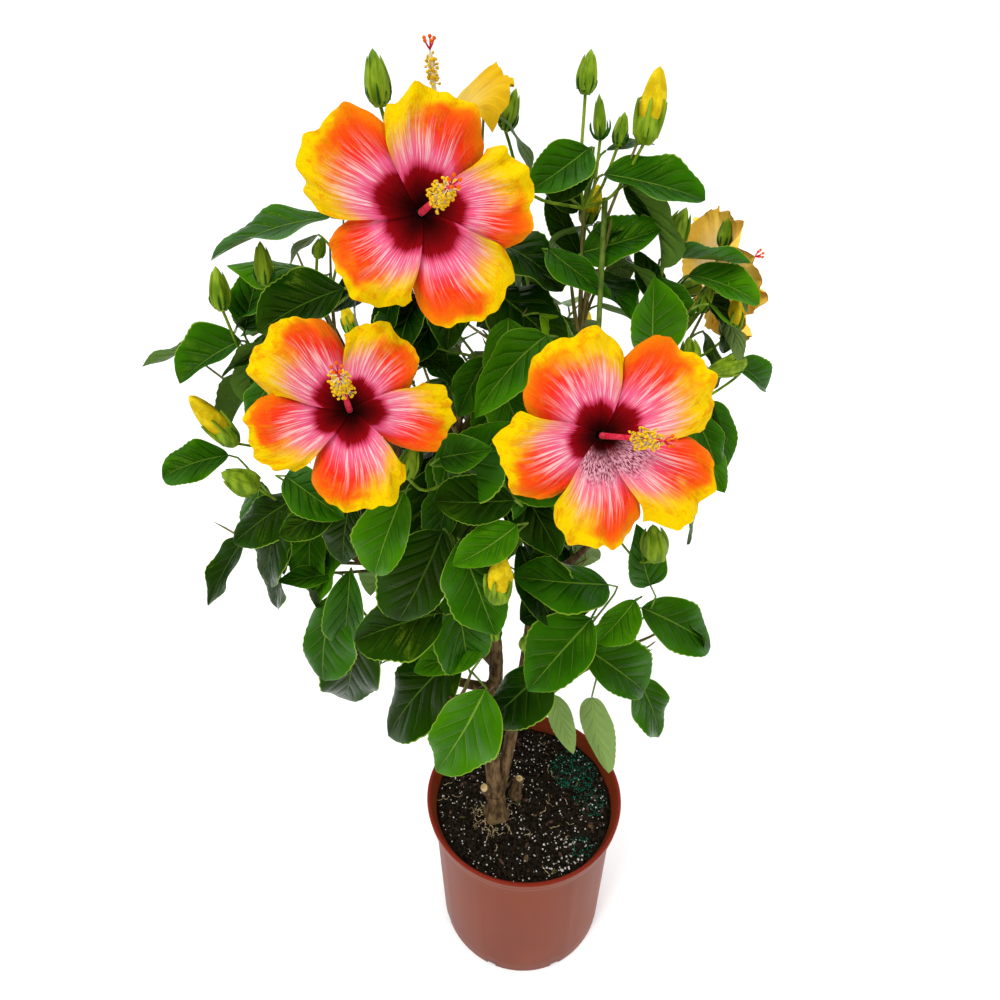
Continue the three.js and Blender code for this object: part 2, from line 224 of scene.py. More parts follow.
# Buds: foot in mm, bearing and rise of the tip, length and width in mm, how far open (0 green,
# 1 showing its yellow petals well clear of the calyx).
BUDS = [
    ((-105, -80, 1041), 170, 86, 31, 14, 0.0),
    ((-202, -60, 925), 60, 86, 31, 12, 0.0),
    ((-249, -30, 896), 80, 84, 34, 14, 0.0),
    ((-172, -20, 934), 10, 66, 17, 9, 0.0),
    ((-258, -40, 782), 190, 60, 56, 17, 0.9),
    ((-236, -70, 757), 210, 42, 34, 20, 0.0),
    ((-103, -120, 798), 20, 70, 28, 14, 0.1),
    ((-34, -130, 683), 20, 84, 48, 20, 0.8),
    ((-36, -80, 591), 90, 86, 26, 11, 0.0),
    ((-4, -80, 577), 250, 76, 30, 14, 0.1),
    ((112, -60, 672), 170, 80, 42, 22, 0.1),
    ((29, 0, 1042), 30, 84, 28, 13, 0.0),
    ((42, 0, 1013), 180, 84, 30, 8, 0.0),
    ((56, 5, 1008), 60, 70, 24, 10, 0.0),
    ((74, 0, 1010), 20, 82, 50, 18, 0.7),
    ((38, 30, 947), 20, 72, 32, 13, 1.0),
    ((104, 10, 932), 20, 70, 36, 17, 0.1),
    ((153, 30, 929), 60, 82, 24, 10, 0.0),
    ((134, 0, 884), 20, 72, 28, 11, 0.1),
    ((160, 0, 862), 30, 80, 38, 15, 0.6),
    ((123, -40, 854), 160, 76, 26, 14, 0.1),
    ((172, -20, 850), 200, -8, 36, 16, 0.0),
    ((-28, 0, 1019), 20, 72, 30, 11, 0.1),
    ((-20, 120, 950), 70, 75, 34, 14, 0.2),
    ((-190, 170, 800), 130, 65, 36, 15, 0.6),
    ((60, 180, 790), 60, 70, 34, 14, 0.3),
]

# How thickly each mass is filled behind the front shoots; the low front stays open so that the
# stems show, as does the gap on either side of them.
FILL = {
    "low_front": 0.0, "low_front_right": 0.0, "middle_front": 0.12, "high_front": 0.4,
    "low_left": 0.2, "low_right": 0.35, "high_far_left": 0.2, "top_left": 0.45, "top_right": 0.4,
    "high_right": 0.5, "high_left": 0.7, "middle_left": 0.6, "middle_right": 0.55,
}


# ---------------------------------------------------------------- numbers and vectors
def rng(*key):
    """A generator of its own for each named thing, so one change leaves the rest as it was."""
    return random.Random("hibiscus-" + "-".join(map(str, key)))


def unit(v):
    return Vector(v).normalized()


def heading(bearing, rise):
    """The unit vector at a bearing from +X towards +Y and a rise above level, in radians."""
    return Vector((math.cos(bearing) * math.cos(rise), math.sin(bearing) * math.cos(rise), math.sin(rise)))


def stray(r, z):
    """A vector with the given z, drawn evenly to either side."""
    return Vector((r.uniform(-1, 1), r.uniform(-1, 1), z))


def spoke(side, up, angle):
    """The vector at an angle from side towards up."""
    return side * math.cos(angle) + up * math.sin(angle)


def frame_from(z, towards):
    """Axes (x, y, z) with z as given and y as near to towards as it can be."""
    z = unit(z)
    y = unit(Vector(towards) - z * Vector(towards).dot(z))
    return y.cross(z), y, z


def srgb(red, green, blue):
    """A display colour, 0 to 255, as linear light with alpha."""
    def linear(c):
        c /= 255
        return c / 12.92 if c <= 0.04045 else ((c + 0.055) / 1.055) ** 2.4
    return (linear(red), linear(green), linear(blue), 1.0)


def along(points, count):
    """Points spaced evenly along a smooth curve through the given ones."""
    p = np.array([tuple(q) for q in points], float)
    p = np.vstack([2 * p[0] - p[1], p, 2 * p[-1] - p[-2]])
    dense = []
    for a, b, c, d in zip(p, p[1:], p[2:], p[3:]):
        for t in np.linspace(0, 1, 16, endpoint=False):
            dense.append(0.5 * (2 * b + (c - a) * t + (2 * a - 5 * b + 4 * c - d) * t * t
                                + (3 * b - a - 3 * c + d) * t ** 3))
    dense = np.array(dense + [p[-2]])
    length = np.concatenate([[0], np.cumsum(np.linalg.norm(np.diff(dense, axis=0), axis=1))])
    wanted = np.linspace(0, length[-1], count)
    return np.stack([np.interp(wanted, length, dense[:, k]) for k in range(3)], axis=1)


def middle_of(mass):
    low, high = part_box("foliage_" + mass)
    return (Vector(low) + Vector(high)) / 2


def half_of(mass):
    low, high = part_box("foliage_" + mass)
    return (Vector(high) - Vector(low)) / 2


def nodes_named(start):
    return [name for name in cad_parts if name.startswith(start)]


# ---------------------------------------------------------------- meshes of quads
# The under side of a sheet keeps the upper side's diagonals, so the two never cross.
FLIP = [0, 3, 2, 1]


def grid(rows, columns, closed=False):
    """Quads over rows x columns of vertices, and each corner's place from 0 to 1."""
    last = columns if closed else columns - 1
    i, j = np.meshgrid(np.arange(rows - 1), np.arange(last), indexing="ij")
    i, j = i.ravel(), j.ravel()
    row = np.stack([i, i + 1, i + 1, i], axis=1)
    column = np.stack([j, j, j + 1, j + 1], axis=1)
    return row * columns + column % columns, np.stack([column / last, row / (rows - 1)], axis=2)


def turned(points, rows, sides):
    """Rings round an axis, with the quads between them facing out."""
    faces, uvs = grid(rows, sides, closed=True)
    return points, faces[:, ::-1], uvs[:, ::-1]


class Piece:
    """One joined mesh, gathered from many small ones."""

    def __init__(self):
        self.points, self.faces, self.uvs, self.total = [], [], [], 0

    def add(self, points, faces, uvs):
        points = np.asarray(points, float).reshape(-1, 3)
        self.points.append(points)
        self.faces.append(faces + self.total)
        self.uvs.append(uvs)
        self.total += len(points)

    def build(self, name, material, slot, replaces=()):
        """The finished object, with its map and material, riding on the one body."""
        points, faces = np.concatenate(self.points), np.concatenate(self.faces)
        mesh = bpy.data.meshes.new(name)
        mesh.vertices.add(len(points))
        mesh.vertices.foreach_set("co", points.ravel())
        mesh.loops.add(faces.size)
        mesh.loops.foreach_set("vertex_index", faces.ravel().astype(np.int32))
        mesh.polygons.add(len(faces))
        mesh.polygons.foreach_set("loop_start", np.arange(0, faces.size, 4, dtype=np.int32))
        mesh.polygons.foreach_set("use_smooth", np.ones(len(faces), bool))
        mesh.update(calc_edges=True)
        layer = mesh.uv_layers.new(name="OFBake")
        layer.data.foreach_set("uv", np.concatenate(self.uvs).ravel())
        mesh.materials.append(material)
        thing = bpy.data.objects.new(name, mesh)
        bpy.context.scene.collection.objects.link(thing)
        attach(thing, "root")
        if replaces:
            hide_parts(*replaces)
        return thing


def tube(route, radii, sides=8, relief=None):
    """A tube of rings along a route. relief(place, around, up) scales the radius."""
    route = np.asarray(route, float)
    count = len(route)
    radii = np.broadcast_to(np.asarray(radii, float), (count,))
    tangents = np.gradient(route, axis=0)
    tangents /= np.linalg.norm(tangents, axis=1)[:, None]
    side = np.cross(tangents[0], (0.3, 1.0, 0.2))
    angles = np.arange(sides) * TURN / sides
    rings = np.empty((count, sides, 3))
    for i, t in enumerate(tangents):
        side = side - t * side.dot(t)
        side /= np.linalg.norm(side)
        ring = np.outer(np.cos(angles), side) + np.outer(np.sin(angles), np.cross(t, side))
        swell = np.ones(sides)
        if relief:
            swell = np.array([relief(route[i], angles[k], i / (count - 1)) for k in range(sides)])
        rings[i] = route[i] + ring * (radii[i] * swell)[:, None]
    return turned(rings, count, sides)


def rounded(radii, last=0.3):
    """Radii whose final one closes the tube."""
    radii = np.array(radii, float)
    radii[-1] *= last
    return radii


def limb(points, count, first, last, sides, relief=None, end=1.0):
    """A tapering tube along a smooth curve; end below 1 closes its last ring to that share."""
    return tube(along(points, count), rounded(np.linspace(first, last, count), end), sides, relief)


def blob(centre, axes, radii, rows, sides, jitter=0.0, r=None):
    """A small closed rounded lump with its own axes and half sizes."""
    polar = np.linspace(0.12, math.pi - 0.12, rows)
    around = np.arange(sides) * TURN / sides
    p, a = np.meshgrid(polar, around, indexing="ij")
    local = np.stack([np.sin(p) * np.cos(a), np.sin(p) * np.sin(a), -np.cos(p)], axis=2)
    if jitter:
        bumps = np.array([r.uniform(-1, 1) for _ in range(rows * sides)])
        local *= 1 + jitter * bumps.reshape(rows, sides, 1)
    points = np.asarray(centre) + local * np.asarray(radii) @ np.array([tuple(x) for x in axes])
    return turned(points, rows, sides)


def lowered(sheet, depth):
    """The sheet moved down its own normals by depth, which may vary over it."""
    normal = np.cross(np.gradient(sheet, axis=0), np.gradient(sheet, axis=1))
    normal /= np.maximum(np.linalg.norm(normal, axis=2, keepdims=True), 1e-12)
    return sheet - normal * np.broadcast_to(depth, sheet.shape[:2])[..., None]


# ---------------------------------------------------------------- shader helpers
class Field:
    """A value that varies over a surface. Arithmetic with it makes the shader's math nodes."""

    def __init__(self, shader, socket):
        self.shader, self.socket = shader, socket

    def __add__(self, other):
        return self.shader.math("ADD", self, other)

    def __sub__(self, other):
        return self.shader.math("SUBTRACT", self, other)

    def __rsub__(self, other):
        return self.shader.math("SUBTRACT", other, self)

    def __mul__(self, other):
        return self.shader.math("MULTIPLY", self, other)

    def __truediv__(self, other):
        return self.shader.math("DIVIDE", self, other)

    def __pow__(self, other):
        return self.shader.math("POWER", self, other)

    def __abs__(self):
        return self.shader.math("ABSOLUTE", self)

    def __gt__(self, other):
        return self.shader.math("GREATER_THAN", self, other)

    def __lt__(self, other):
        return self.shader.math("LESS_THAN", self, other)

    def fraction(self):
        return self.shader.math("FRACT", self)

    def or_more(self, other):
        return self.shader.math("MAXIMUM", self, other)


class Shader:
    """A material on one Principled shader, with short calls for the nodes used here."""

    def __init__(self, name, roughness, specular, tint=None):
        self.material = bpy.data.materials.new(name)
        self.material.use_nodes = True
        self.tree = self.material.node_tree
        self.surface = self.tree.nodes["Principled BSDF"]
        self.set(self.surface, "Roughness", roughness)
        self.set(self.surface, "Specular IOR Level", specular)
        self.set(self.surface, "Specular Tint", tint)

    def set(self, node, socket, value):
        """Links a field to a node's socket, or sets a plain value; None leaves it alone."""
        if isinstance(value, Field):
            self.tree.links.new(value.socket, node.inputs[socket])
        elif value is not None:
            node.inputs[socket].default_value = value

    def node(self, kind, inputs, output=0, **settings):
        """One output of a new node, given its inputs by name or place."""
        made = self.tree.nodes.new("ShaderNode" + kind)
        for name, value in settings.items():
            setattr(made, name, value)
        for socket, value in inputs.items():
            self.set(made, socket, value)
        return Field(self, made.outputs[output])

    def math(self, operation, *values):
        return self.node("Math", dict(enumerate(values)), operation=operation)

    def split(self, vector):
        made = self.tree.nodes.new("ShaderNodeSeparateXYZ")
        self.set(made, "Vector", vector)
        return [Field(self, output) for output in made.outputs]

    def uv(self):
        """The two map coordinates."""
        return self.split(self.node("UVMap", {}, uv_map="OFBake"))[:2]

    def place(self, x=1.0, y=1.0, z=1.0):
        """Object coordinates in metres, stretched along the axes."""
        return self.node("VectorMath", {0: self.node("TexCoord", {}, 3), 1: (x, y, z)}, operation="MULTIPLY")

    def vector(self, x, y, z=0.0):
        return self.node("CombineXYZ", {"X": x, "Y": y, "Z": z})

    def noise(self, vector, scale, detail=3.0, rough=0.5):
        inputs = {"Vector": vector, "Scale": scale, "Detail": detail, "Roughness": rough}
        return self.node("TexNoise", inputs)

    def smooth(self, value, low, high):
        """Goes smoothly from 0 at low to 1 at high."""
        return self.node("MapRange", {"Value": value, "From Min": low, "From Max": high},
                         interpolation_type="SMOOTHSTEP")

    def ramp(self, value, stops):
        made = self.tree.nodes.new("ShaderNodeValToRGB")
        self.set(made, 0, value)
        elements = made.color_ramp.elements
        while len(elements) < len(stops):
            elements.new(0.5)
        for element, (position, colour) in zip(elements, stops):
            element.position, element.color = position, colour
        return Field(self, made.outputs[0])

    def mix(self, amount, first, second):
        return self.node("Mix", {0: amount, 6: first, 7: second}, 2, data_type="RGBA")

    def finish(self, colour, roughness=None, height=None, strength=0.3, depth=0.001):
        self.set(self.surface, "Base Color", colour)
        self.set(self.surface, "Roughness", roughness)
        if height is not None:
            bump = self.node("Bump", {"Height": height, "Strength": strength, "Distance": depth})
            self.set(self.surface, "Normal", bump)
        return self.material


# ---------------------------------------------------------------- materials
def leaf_material(name, deep, bright, vein, under):
    """Glossy blade with pale veins and margin, and painted shade in the grooves beside the veins. The map's
    left half is the upper side, its right half the paler underside; across the blade out runs 0 to 1, and v
    runs from base to tip."""
    s = Shader(name, 0.27, 0.17, (0.46, 0.70, 0.03, 1.0))
    u, v = s.uv()
    out = abs((u * 2.0).fraction() * 2.0 - 1.0)
    lower = u > 0.5
    near = abs(((v - out ** 0.8 * 0.36) * 6.0).fraction() - 0.5)
    within = s.smooth(out, 0.92, 0.45) * s.smooth(v, 0.90, 0.72)
    lateral = s.smooth(near, 0.06, 0.01) * within
    midrib = s.smooth(out / ((1.0 - v) ** 3.0 + 0.5), 0.055, 0.015)
    veins = midrib.or_more(lateral * 0.38)
    # The grooves beside the lateral veins: sunk in the bump, and darkened below as painted shade.
    shaded_grooves = s.smooth(near, 0.30, 0.05) * within
    where = s.vector(u, v)
    mottle = s.noise(where, 3.5)
    net = s.noise(where, 60.0, 2.0)
    blade = s.mix(s.smooth(mottle * 0.7 + out * 0.3, 0.25, 0.75), deep, bright)
    # Painted shade: the blade goes towards its deep green in the grooves beside the veins.
    blade = s.mix(shaded_grooves * 0.45, blade, deep)
    blade = s.mix(veins * 0.55, blade, vein)
    blade = s.mix(s.smooth(out, 0.878, 0.900) * 0.8, blade, srgb(120, 152, 44))
    colour = s.mix(lower, blade, s.mix(veins * 0.6, under, vein))
    height = net * 0.15 - (veins + shaded_grooves) * 0.45
    rough = lower * 0.3 + mottle * 0.16 + 0.19
    return s.finish(colour, rough, height, 0.7, 0.0025)


def petal_material(name, hand, seed, eye, speckled):
    """Petal colours on a map of five tiles across (one petal each), fronts above backs.
    side is +1 on the yellow side of the petal, -1 on the red one; t runs from throat to rim, and
    eye is where the maroon ends. On the speckled petals it breaks up into fine pale dots."""
    s = Shader(name, 0.6, 0.04, (1.0, 0.6, 0.3, 1.0))
    u, v = s.uv()
    tile = u * 5.0
    t = (v * 2.0).fraction()
    side = (tile.fraction() * 2.0 - 1.0) * float(hand)

    def streaks(wide, long, offset=0.0, detail=3.0, rough=0.6):
        return s.noise(s.vector(tile * wide, t * long, seed + offset), 1.0, detail, rough)

    rays, fine, broad = streaks(26.0, 1.3), streaks(64.0, 2.2, 9.0), streaks(3.0, 2.4, 5.0)
    ragged = t + (fine - 0.5) * 0.13 + (broad - 0.5) * 0.10 + side * side * 0.05
    heart = [(0.0, srgb(24, 0, 2)), (0.28 * eye, srgb(46, 1, 3)), (0.60 * eye, srgb(90, 2, 7)),
             (0.93 * eye, srgb(130, 4, 14)), (1.07 * eye, srgb(204, 66, 104)),
             (1.28 * eye, srgb(213, 84, 124))]
    warm = s.ramp(ragged, heart + [(0.55, srgb(212, 54, 66)), (0.66, srgb(214, 42, 18)),
                                   (0.84, srgb(216, 72, 12)), (0.97, srgb(212, 108, 6))])
    sunny = s.ramp(ragged, heart + [(0.58, srgb(212, 112, 108)), (0.68, srgb(214, 146, 44)),
                                    (0.78, srgb(214, 172, 8)), (0.92, srgb(214, 180, 0))])
    lean = side + (broad - 0.5) * 1.3 + s.smooth(t, 0.84, 1.0) * 0.55
    colour = s.mix(s.smooth(lean, -0.06, 0.46), warm, sunny)

    window = s.smooth(t, eye, 1.2 * eye) * s.smooth(t, 0.86, 0.50)
    window = window * s.smooth(abs(side - 0.2), 1.05, 0.3)
    lines = s.smooth(rays, 0.53, 0.64).or_more(s.smooth(fine, 0.50, 0.62) * 0.8)
    colour = s.mix(lines * window * 0.7, colour, srgb(228, 202, 198))
    for first in speckled:
        dots = s.smooth(streaks(44.0, 26.0, detail=1.0, rough=0.5), 0.40, 0.58)
        pale = s.mix(dots, srgb(112, 34, 50), srgb(204, 148, 162))
        here = (tile > float(first)) * (tile < first + 1.0)
        zone = s.smooth(t, 0.08, 0.24) * s.smooth(t, 0.50, 0.30) * here
        colour = s.mix(zone * s.smooth(side, -1.0, -0.1), colour, pale)

    creases = streaks(11.0, 7.0, detail=5.0, rough=0.65)
    rim = s.smooth(t, 0.55, 0.9)
    colour = s.mix(s.smooth(creases, 0.48, 0.64) * rim * 0.6, colour, srgb(200, 108, 4))
    behind = s.mix(s.smooth(t, 0.25, 0.75), srgb(196, 124, 80), srgb(206, 128, 16))
    colour = s.mix(v > 0.5, behind, colour)
    return s.finish(colour, None, fine * 0.5 + creases * (rim + 0.3), 0.8, 0.003)


def aged_petal_material(name, throat, rim, vein):
    """Golden petals of the older blooms: paler at the throat, veined, deeper at the rim."""
    s = Shader(name, 0.65, 0.04)
    u, v = s.uv()
    t = (v * 2.0).fraction()
    tile = u * 5.0
    veins = s.noise(s.vector(tile * 24.0, t * 2.0), 1.0, 4.0)
    colour = s.mix(s.smooth(t, 0.25, 0.9), throat, rim)
    colour = s.mix(s.smooth(veins, 0.45, 0.7) * 0.4, colour, vein)
    crepe = s.noise(s.vector(tile * 9.0, t * 9.0), 1.0, 4.0)
    return s.finish(colour, None, veins + crepe, 0.6, 0.002)


def bark_material(name, dark, light, grain, roughness):
    s = Shader(name, roughness, 0.06)
    fissures = s.noise(s.place(1.0, 1.0, 0.22), grain, 6.0, 0.65)
    patches = s.noise(s.place(), grain * 0.35)
    colour = s.mix(s.smooth(fissures, 0.36, 0.66), dark, light)
    colour = s.mix(s.smooth(patches, 0.52, 0.72) * 0.5, colour, srgb(134, 114, 78))
    return s.finish(colour, None, fissures, 0.7, 0.002)


def green_wood(name, dark, light):
    s = Shader(name, 0.5, 0.14, (0.8, 0.9, 0.4, 1.0))
    streaks = s.noise(s.place(1.0, 1.0, 0.3), 160.0)
    return s.finish(s.mix(s.smooth(streaks, 0.35, 0.65), dark, light), None, streaks, 0.2, 0.0005)


def pot_material():
    """Moulded terracotta plastic: a soft sheen, dust low on the wall and a darker, redder lip."""
    s = Shader("pot_plastic", 0.42, 0.14, (1.0, 0.62, 0.45, 1.0))
    height = s.split(s.place())[2]
    cloud = s.noise(s.place(1.0, 1.0, 0.5), 14.0, 4.0)
    speck = s.noise(s.place(), 420.0, 2.0)
    wall = s.mix(s.smooth(cloud, 0.3, 0.7), srgb(106, 41, 17), srgb(116, 49, 24))
    dust = s.smooth(height, 0.09, 0.0) * s.smooth(cloud, 0.35, 0.75)
    wall = s.mix(dust * 0.3, wall, srgb(134, 78, 56))
    lip = s.smooth(height, POT_HEIGHT - 0.0035, POT_HEIGHT - 0.001)
    colour = s.mix(lip, wall, srgb(112, 28, 14))
    colour = s.mix(s.smooth(speck, 0.62, 0.75) * 0.15, colour, srgb(150, 88, 66))
    return s.finish(colour, cloud * 0.2 + 0.32, speck + cloud, 0.12, 0.0006)


def grainy(name, first, second, scale, roughness=0.9, bump=0.5):
    """Two colours finely mottled together."""
    s = Shader(name, roughness, 0.03)
    spots = s.noise(s.place(), scale, 4.0, 0.6)
    return s.finish(s.mix(s.smooth(spots, 0.38, 0.64), first, second), None, spots, bump, 0.001)



# ---------------------------------------------------------------- pot
def pot_profile():
    """Radius and height along the wall's section, from under the pot out, over the lip and in."""
    outside = [(0.0005, 0.0), (0.060, 0.0), (FOOT_RADIUS - 0.004, 0.0), (FOOT_RADIUS - 0.001, 0.0008),
               (FOOT_RADIUS, 0.003)]
    wall = [(FOOT_RADIUS + (WALL_TOP_RADIUS - FOOT_RADIUS) * k / 10, 0.003 + (LIP_FOOT - 0.009) * k / 10)
            for k in range(1, 11)]
    lip = [(WALL_TOP_RADIUS + 0.0006, LIP_FOOT - 0.003), (RIM_RADIUS - 0.0035, LIP_FOOT - 0.0006),
           (RIM_RADIUS - 0.0018, LIP_FOOT + 0.0008), (RIM_RADIUS - 0.0012, LIP_FOOT + 0.004),
           (RIM_RADIUS - 0.0010, POT_HEIGHT - 0.006), (RIM_RADIUS - 0.0004, POT_HEIGHT - 0.0042),
           (RIM_RADIUS, POT_HEIGHT - 0.0024), (RIM_RADIUS - 0.0007, POT_HEIGHT - 0.0007),
           (RIM_RADIUS - 0.0024, POT_HEIGHT), (RIM_RADIUS - 0.0044, POT_HEIGHT - 0.0008),
           (RIM_RADIUS - 0.0056, POT_HEIGHT - 0.004), (WALL_TOP_RADIUS + 0.0012, LIP_FOOT + 0.004),
           (WALL_TOP_RADIUS - WALL, LIP_FOOT - 0.002)]
    inside = [(WALL_TOP_RADIUS - WALL - 0.0003, 0.200), (FOOT_RADIUS - WALL, 0.010),
              (FOOT_RADIUS - WALL - 0.003, 0.003), (0.0005, 0.003)]
    return outside + wall + lip + inside


def make_pot():
    """The lathe of the pot, very slightly panelled, with its drain slots cut round the foot."""
    sides, panels = 144, 12
    profile = np.array(pot_profile())
    points = np.empty((len(profile), sides, 3))
    for j, angle in enumerate(np.arange(sides) * TURN / sides):
        ridge = abs(math.cos(panels * angle / 2)) ** 24
        panelled = np.where((profile[:, 1] > 0.02) & (profile[:, 1] < 0.205), 0.0007 * ridge, 0.0)
        points[:, j, 0] = (profile[:, 0] + panelled) * math.cos(angle)
        points[:, j, 1] = (profile[:, 0] + panelled) * math.sin(angle)
        points[:, j, 2] = profile[:, 1]
    piece = Piece()
    piece.add(*turned(points, len(profile), sides))
    plastic = pot_material()
    pot = piece.build("pot_shell", plastic, "pot_plastic", ["pot"])

    cutters = Piece()
    corners = np.array([(x, y, z) for x in (-1, 1) for y in (-1, 1) for z in (-1, 1)], float)
    box = np.array([(0, 1, 3, 2), (4, 6, 7, 5), (0, 4, 5, 1), (2, 3, 7, 6), (0, 2, 6, 4), (1, 5, 7, 3)])
    size = corners * (0.008, 0.006, 0.0055) + (FOOT_RADIUS, 0, 0.0015)
    for k in range(DRAIN_HOLES):
        turn = (k + 0.5) * TURN / DRAIN_HOLES
        cosine, sine = math.cos(turn), math.sin(turn)
        spin = np.array([(cosine, sine, 0), (-sine, cosine, 0), (0, 0, 1)])
        cutters.add(size @ spin, box, np.zeros((6, 4, 2)))
    slots = cutters.build("slots", plastic, "pot_plastic")
    cut = pot.modifiers.new("slots", "BOOLEAN")
    cut.operation, cut.object, cut.solver = "DIFFERENCE", slots, "EXACT"
    bpy.context.view_layer.objects.active = pot
    pot.select_set(True)
    bpy.ops.object.modifier_apply(modifier="slots")
    bpy.data.objects.remove(slots)


# ---------------------------------------------------------------- soil
# Loose things on the potting mix: count, least and most half length, half sizes as shares of it,
# material, its two colours, grain and roughness.
HEAPS = {
    "crumbs": (1500, 0.0009, 0.0028, (1.0, 0.8, 0.6), "crumb", (10, 8, 5), (48, 38, 29), 300.0, 0.9),
    "perlite": (560, 0.0004, 0.0014, (1.0, 0.9, 0.8), "perlite", (176, 172, 162), (216, 213, 206),
                500.0, 0.8),
    "scraps": (16, 0.0030, 0.0065, (1.0, 0.6, 0.06), "dry_leaf", (54, 60, 26), (104, 78, 58), 90.0, 0.9),
    "chips": (70, 0.0025, 0.0060, (1.0, 0.45, 0.16), "bark_chip", (44, 30, 24), (88, 66, 54), 220.0, 0.9),
}
# Where more perlite lies, and the three spills of granules: count, spread and middle.
PERLITE_PATCH = (60, 0.24, (0.045, -0.078))
SPILLS = [(520, 0.30, (0.072, 0.046)), (150, 0.20, (0.088, -0.002)), (70, 0.15, (0.072, -0.066))]
ROOTLETS, ROOTLETS_BY_TRUNK = 90, 60


def soil_height(x, y):
    """The uneven top of the potting mix."""
    lump = noise.noise(Vector((x, y, 0)) * 45) * 0.0035 + noise.noise(Vector((x, y, 1)) * 160) * 0.0016
    return SOIL_TOP - 0.003 + lump


def scatter(r, count, low, high, spread=1.0, centre=(0.0, 0.0)):
    """Places on the potting mix within a share of its radius from a centre, with axes and sizes."""
    for _ in range(count):
        angle, reach = r.uniform(0, TURN), SOIL_RADIUS * 0.97 * spread * math.sqrt(r.random())
        x, y = centre[0] + reach * math.cos(angle), centre[1] + reach * math.sin(angle)
        if math.hypot(x, y) > SOIL_RADIUS - 0.003:
            continue
        size = r.uniform(low, high)
        axes = frame_from(stray(r, 1.0), stray(r, 0.1))
        yield Vector((x, y, soil_height(x, y) + size * 0.25)), axes, size


def make_soil():
    """The potting mix: an uneven top with crumbs, perlite, bark chips, granules and rootlets."""
    r = rng("soil")
    rows, sides = 34, 96
    rings = np.concatenate([[0.0005], np.linspace(0.004, SOIL_RADIUS, rows)])
    top = np.empty((len(rings) + 1, sides, 3))
    for j in range(sides):
        across, forward = math.cos(TURN * j / sides), math.sin(TURN * j / sides)
        for i, ring in enumerate(rings):
            top[i, j] = (ring * across, ring * forward, soil_height(ring * across, ring * forward))
        top[-1, j] = ((SOIL_RADIUS - 0.004) * across, (SOIL_RADIUS - 0.004) * forward, 0.004)
    bed = Piece()
    bed.add(top, *grid(len(rings) + 1, sides, closed=True))
    mix = grainy("soil_mix", srgb(9, 7, 4), srgb(34, 28, 21), 260.0, 1.0, 1.0)
    bed.build("soil_bed", mix, "potting_mix", ["soil"])

    for name, (count, low, high, shape, look, first, second, *grain) in HEAPS.items():
        heap = Piece()
        places = [scatter(r, count, low, high)]
        if name == "perlite":
            more, spread, centre = PERLITE_PATCH
            places.append(scatter(r, more, 0.0008, 0.0019, spread, centre))
        for batch in places:
            for at, axes, size in batch:
                heap.add(*blob(at, axes, [size * k for k in shape], 5, 6, 0.22, r))
        heap.build("soil_" + name, grainy(look, srgb(*first), srgb(*second), *grain), "potting_mix")

    granules = Piece()
    for count, spread, centre in SPILLS:
        for at, axes, size in scatter(r, count, 0.0005, 0.0011, spread, centre):
            granules.add(*blob(at + Vector((0, 0, 0.0006)), axes, (size, size, size), 4, 5, 0.15, r))
    green = grainy("fertiliser", srgb(4, 62, 48), srgb(20, 128, 96), 600.0, 0.5)
    granules.build("soil_granules", green, "potting_mix")

    roots = Piece()
    for k in range(ROOTLETS):
        by_trunk = k < ROOTLETS_BY_TRUNK
        way = heading(r.uniform(0, TURN), 0.0)
        start = way * (r.uniform(0.010, 0.030) if by_trunk else r.uniform(0.02, 0.10))
        if by_trunk:
            start = Vector((TRUNK[0][0], TRUNK[0][1], 0)) + start
        if start.xy.length > SOIL_RADIUS - 0.012:
            continue
        points, course = [], r.uniform(0, TURN)
        for _ in range(6):
            points.append((start.x, start.y, SOIL_TOP + r.uniform(-0.002, 0.0015)))
            course += r.uniform(-0.9, 0.9)
            start = start + heading(course, 0.0) * r.uniform(0.0015, 0.004)
        roots.add(*tube(along(points, 10), rounded(np.full(10, r.uniform(0.0002, 0.0005))), 4))
    pale = grainy("rootlet", srgb(120, 100, 70), srgb(196, 178, 138), 300.0)
    roots.build("soil_rootlets", pale, "potting_mix")


# ---------------------------------------------------------------- trunk, stems and boughs
# Points along the routes of these limbs.
STUB_POINTS, BOUGH_POINTS, TWIG_POINTS = 12, 26, 14
# A bough runs this far into its mass, sags by this share of its length, and tapers so.
BOUGH_REACH, BOUGH_SAG, BOUGH_GIRTH, BOUGH_TIP = 0.86, 0.12, 0.75, 0.36


def bark_relief(depth, grain, flare=0.0):
    """Long ridges that run up the limb, and low root lobes where it leaves the ground."""
    def relief(place, around, up):
        ridge = noise.noise(Vector((math.cos(around) * 2.2, math.sin(around) * 2.2, place[2] * grain)))
        fine = noise.noise(Vector((math.cos(around) * 6, math.sin(around) * 6, place[2] * grain * 3)))
        lobes = flare * (1 - up) ** 4 * (1 + 0.35 * math.cos(4 * around + 1))
        return 1 + depth * (ridge + 0.5 * fine) + lobes
    return relief


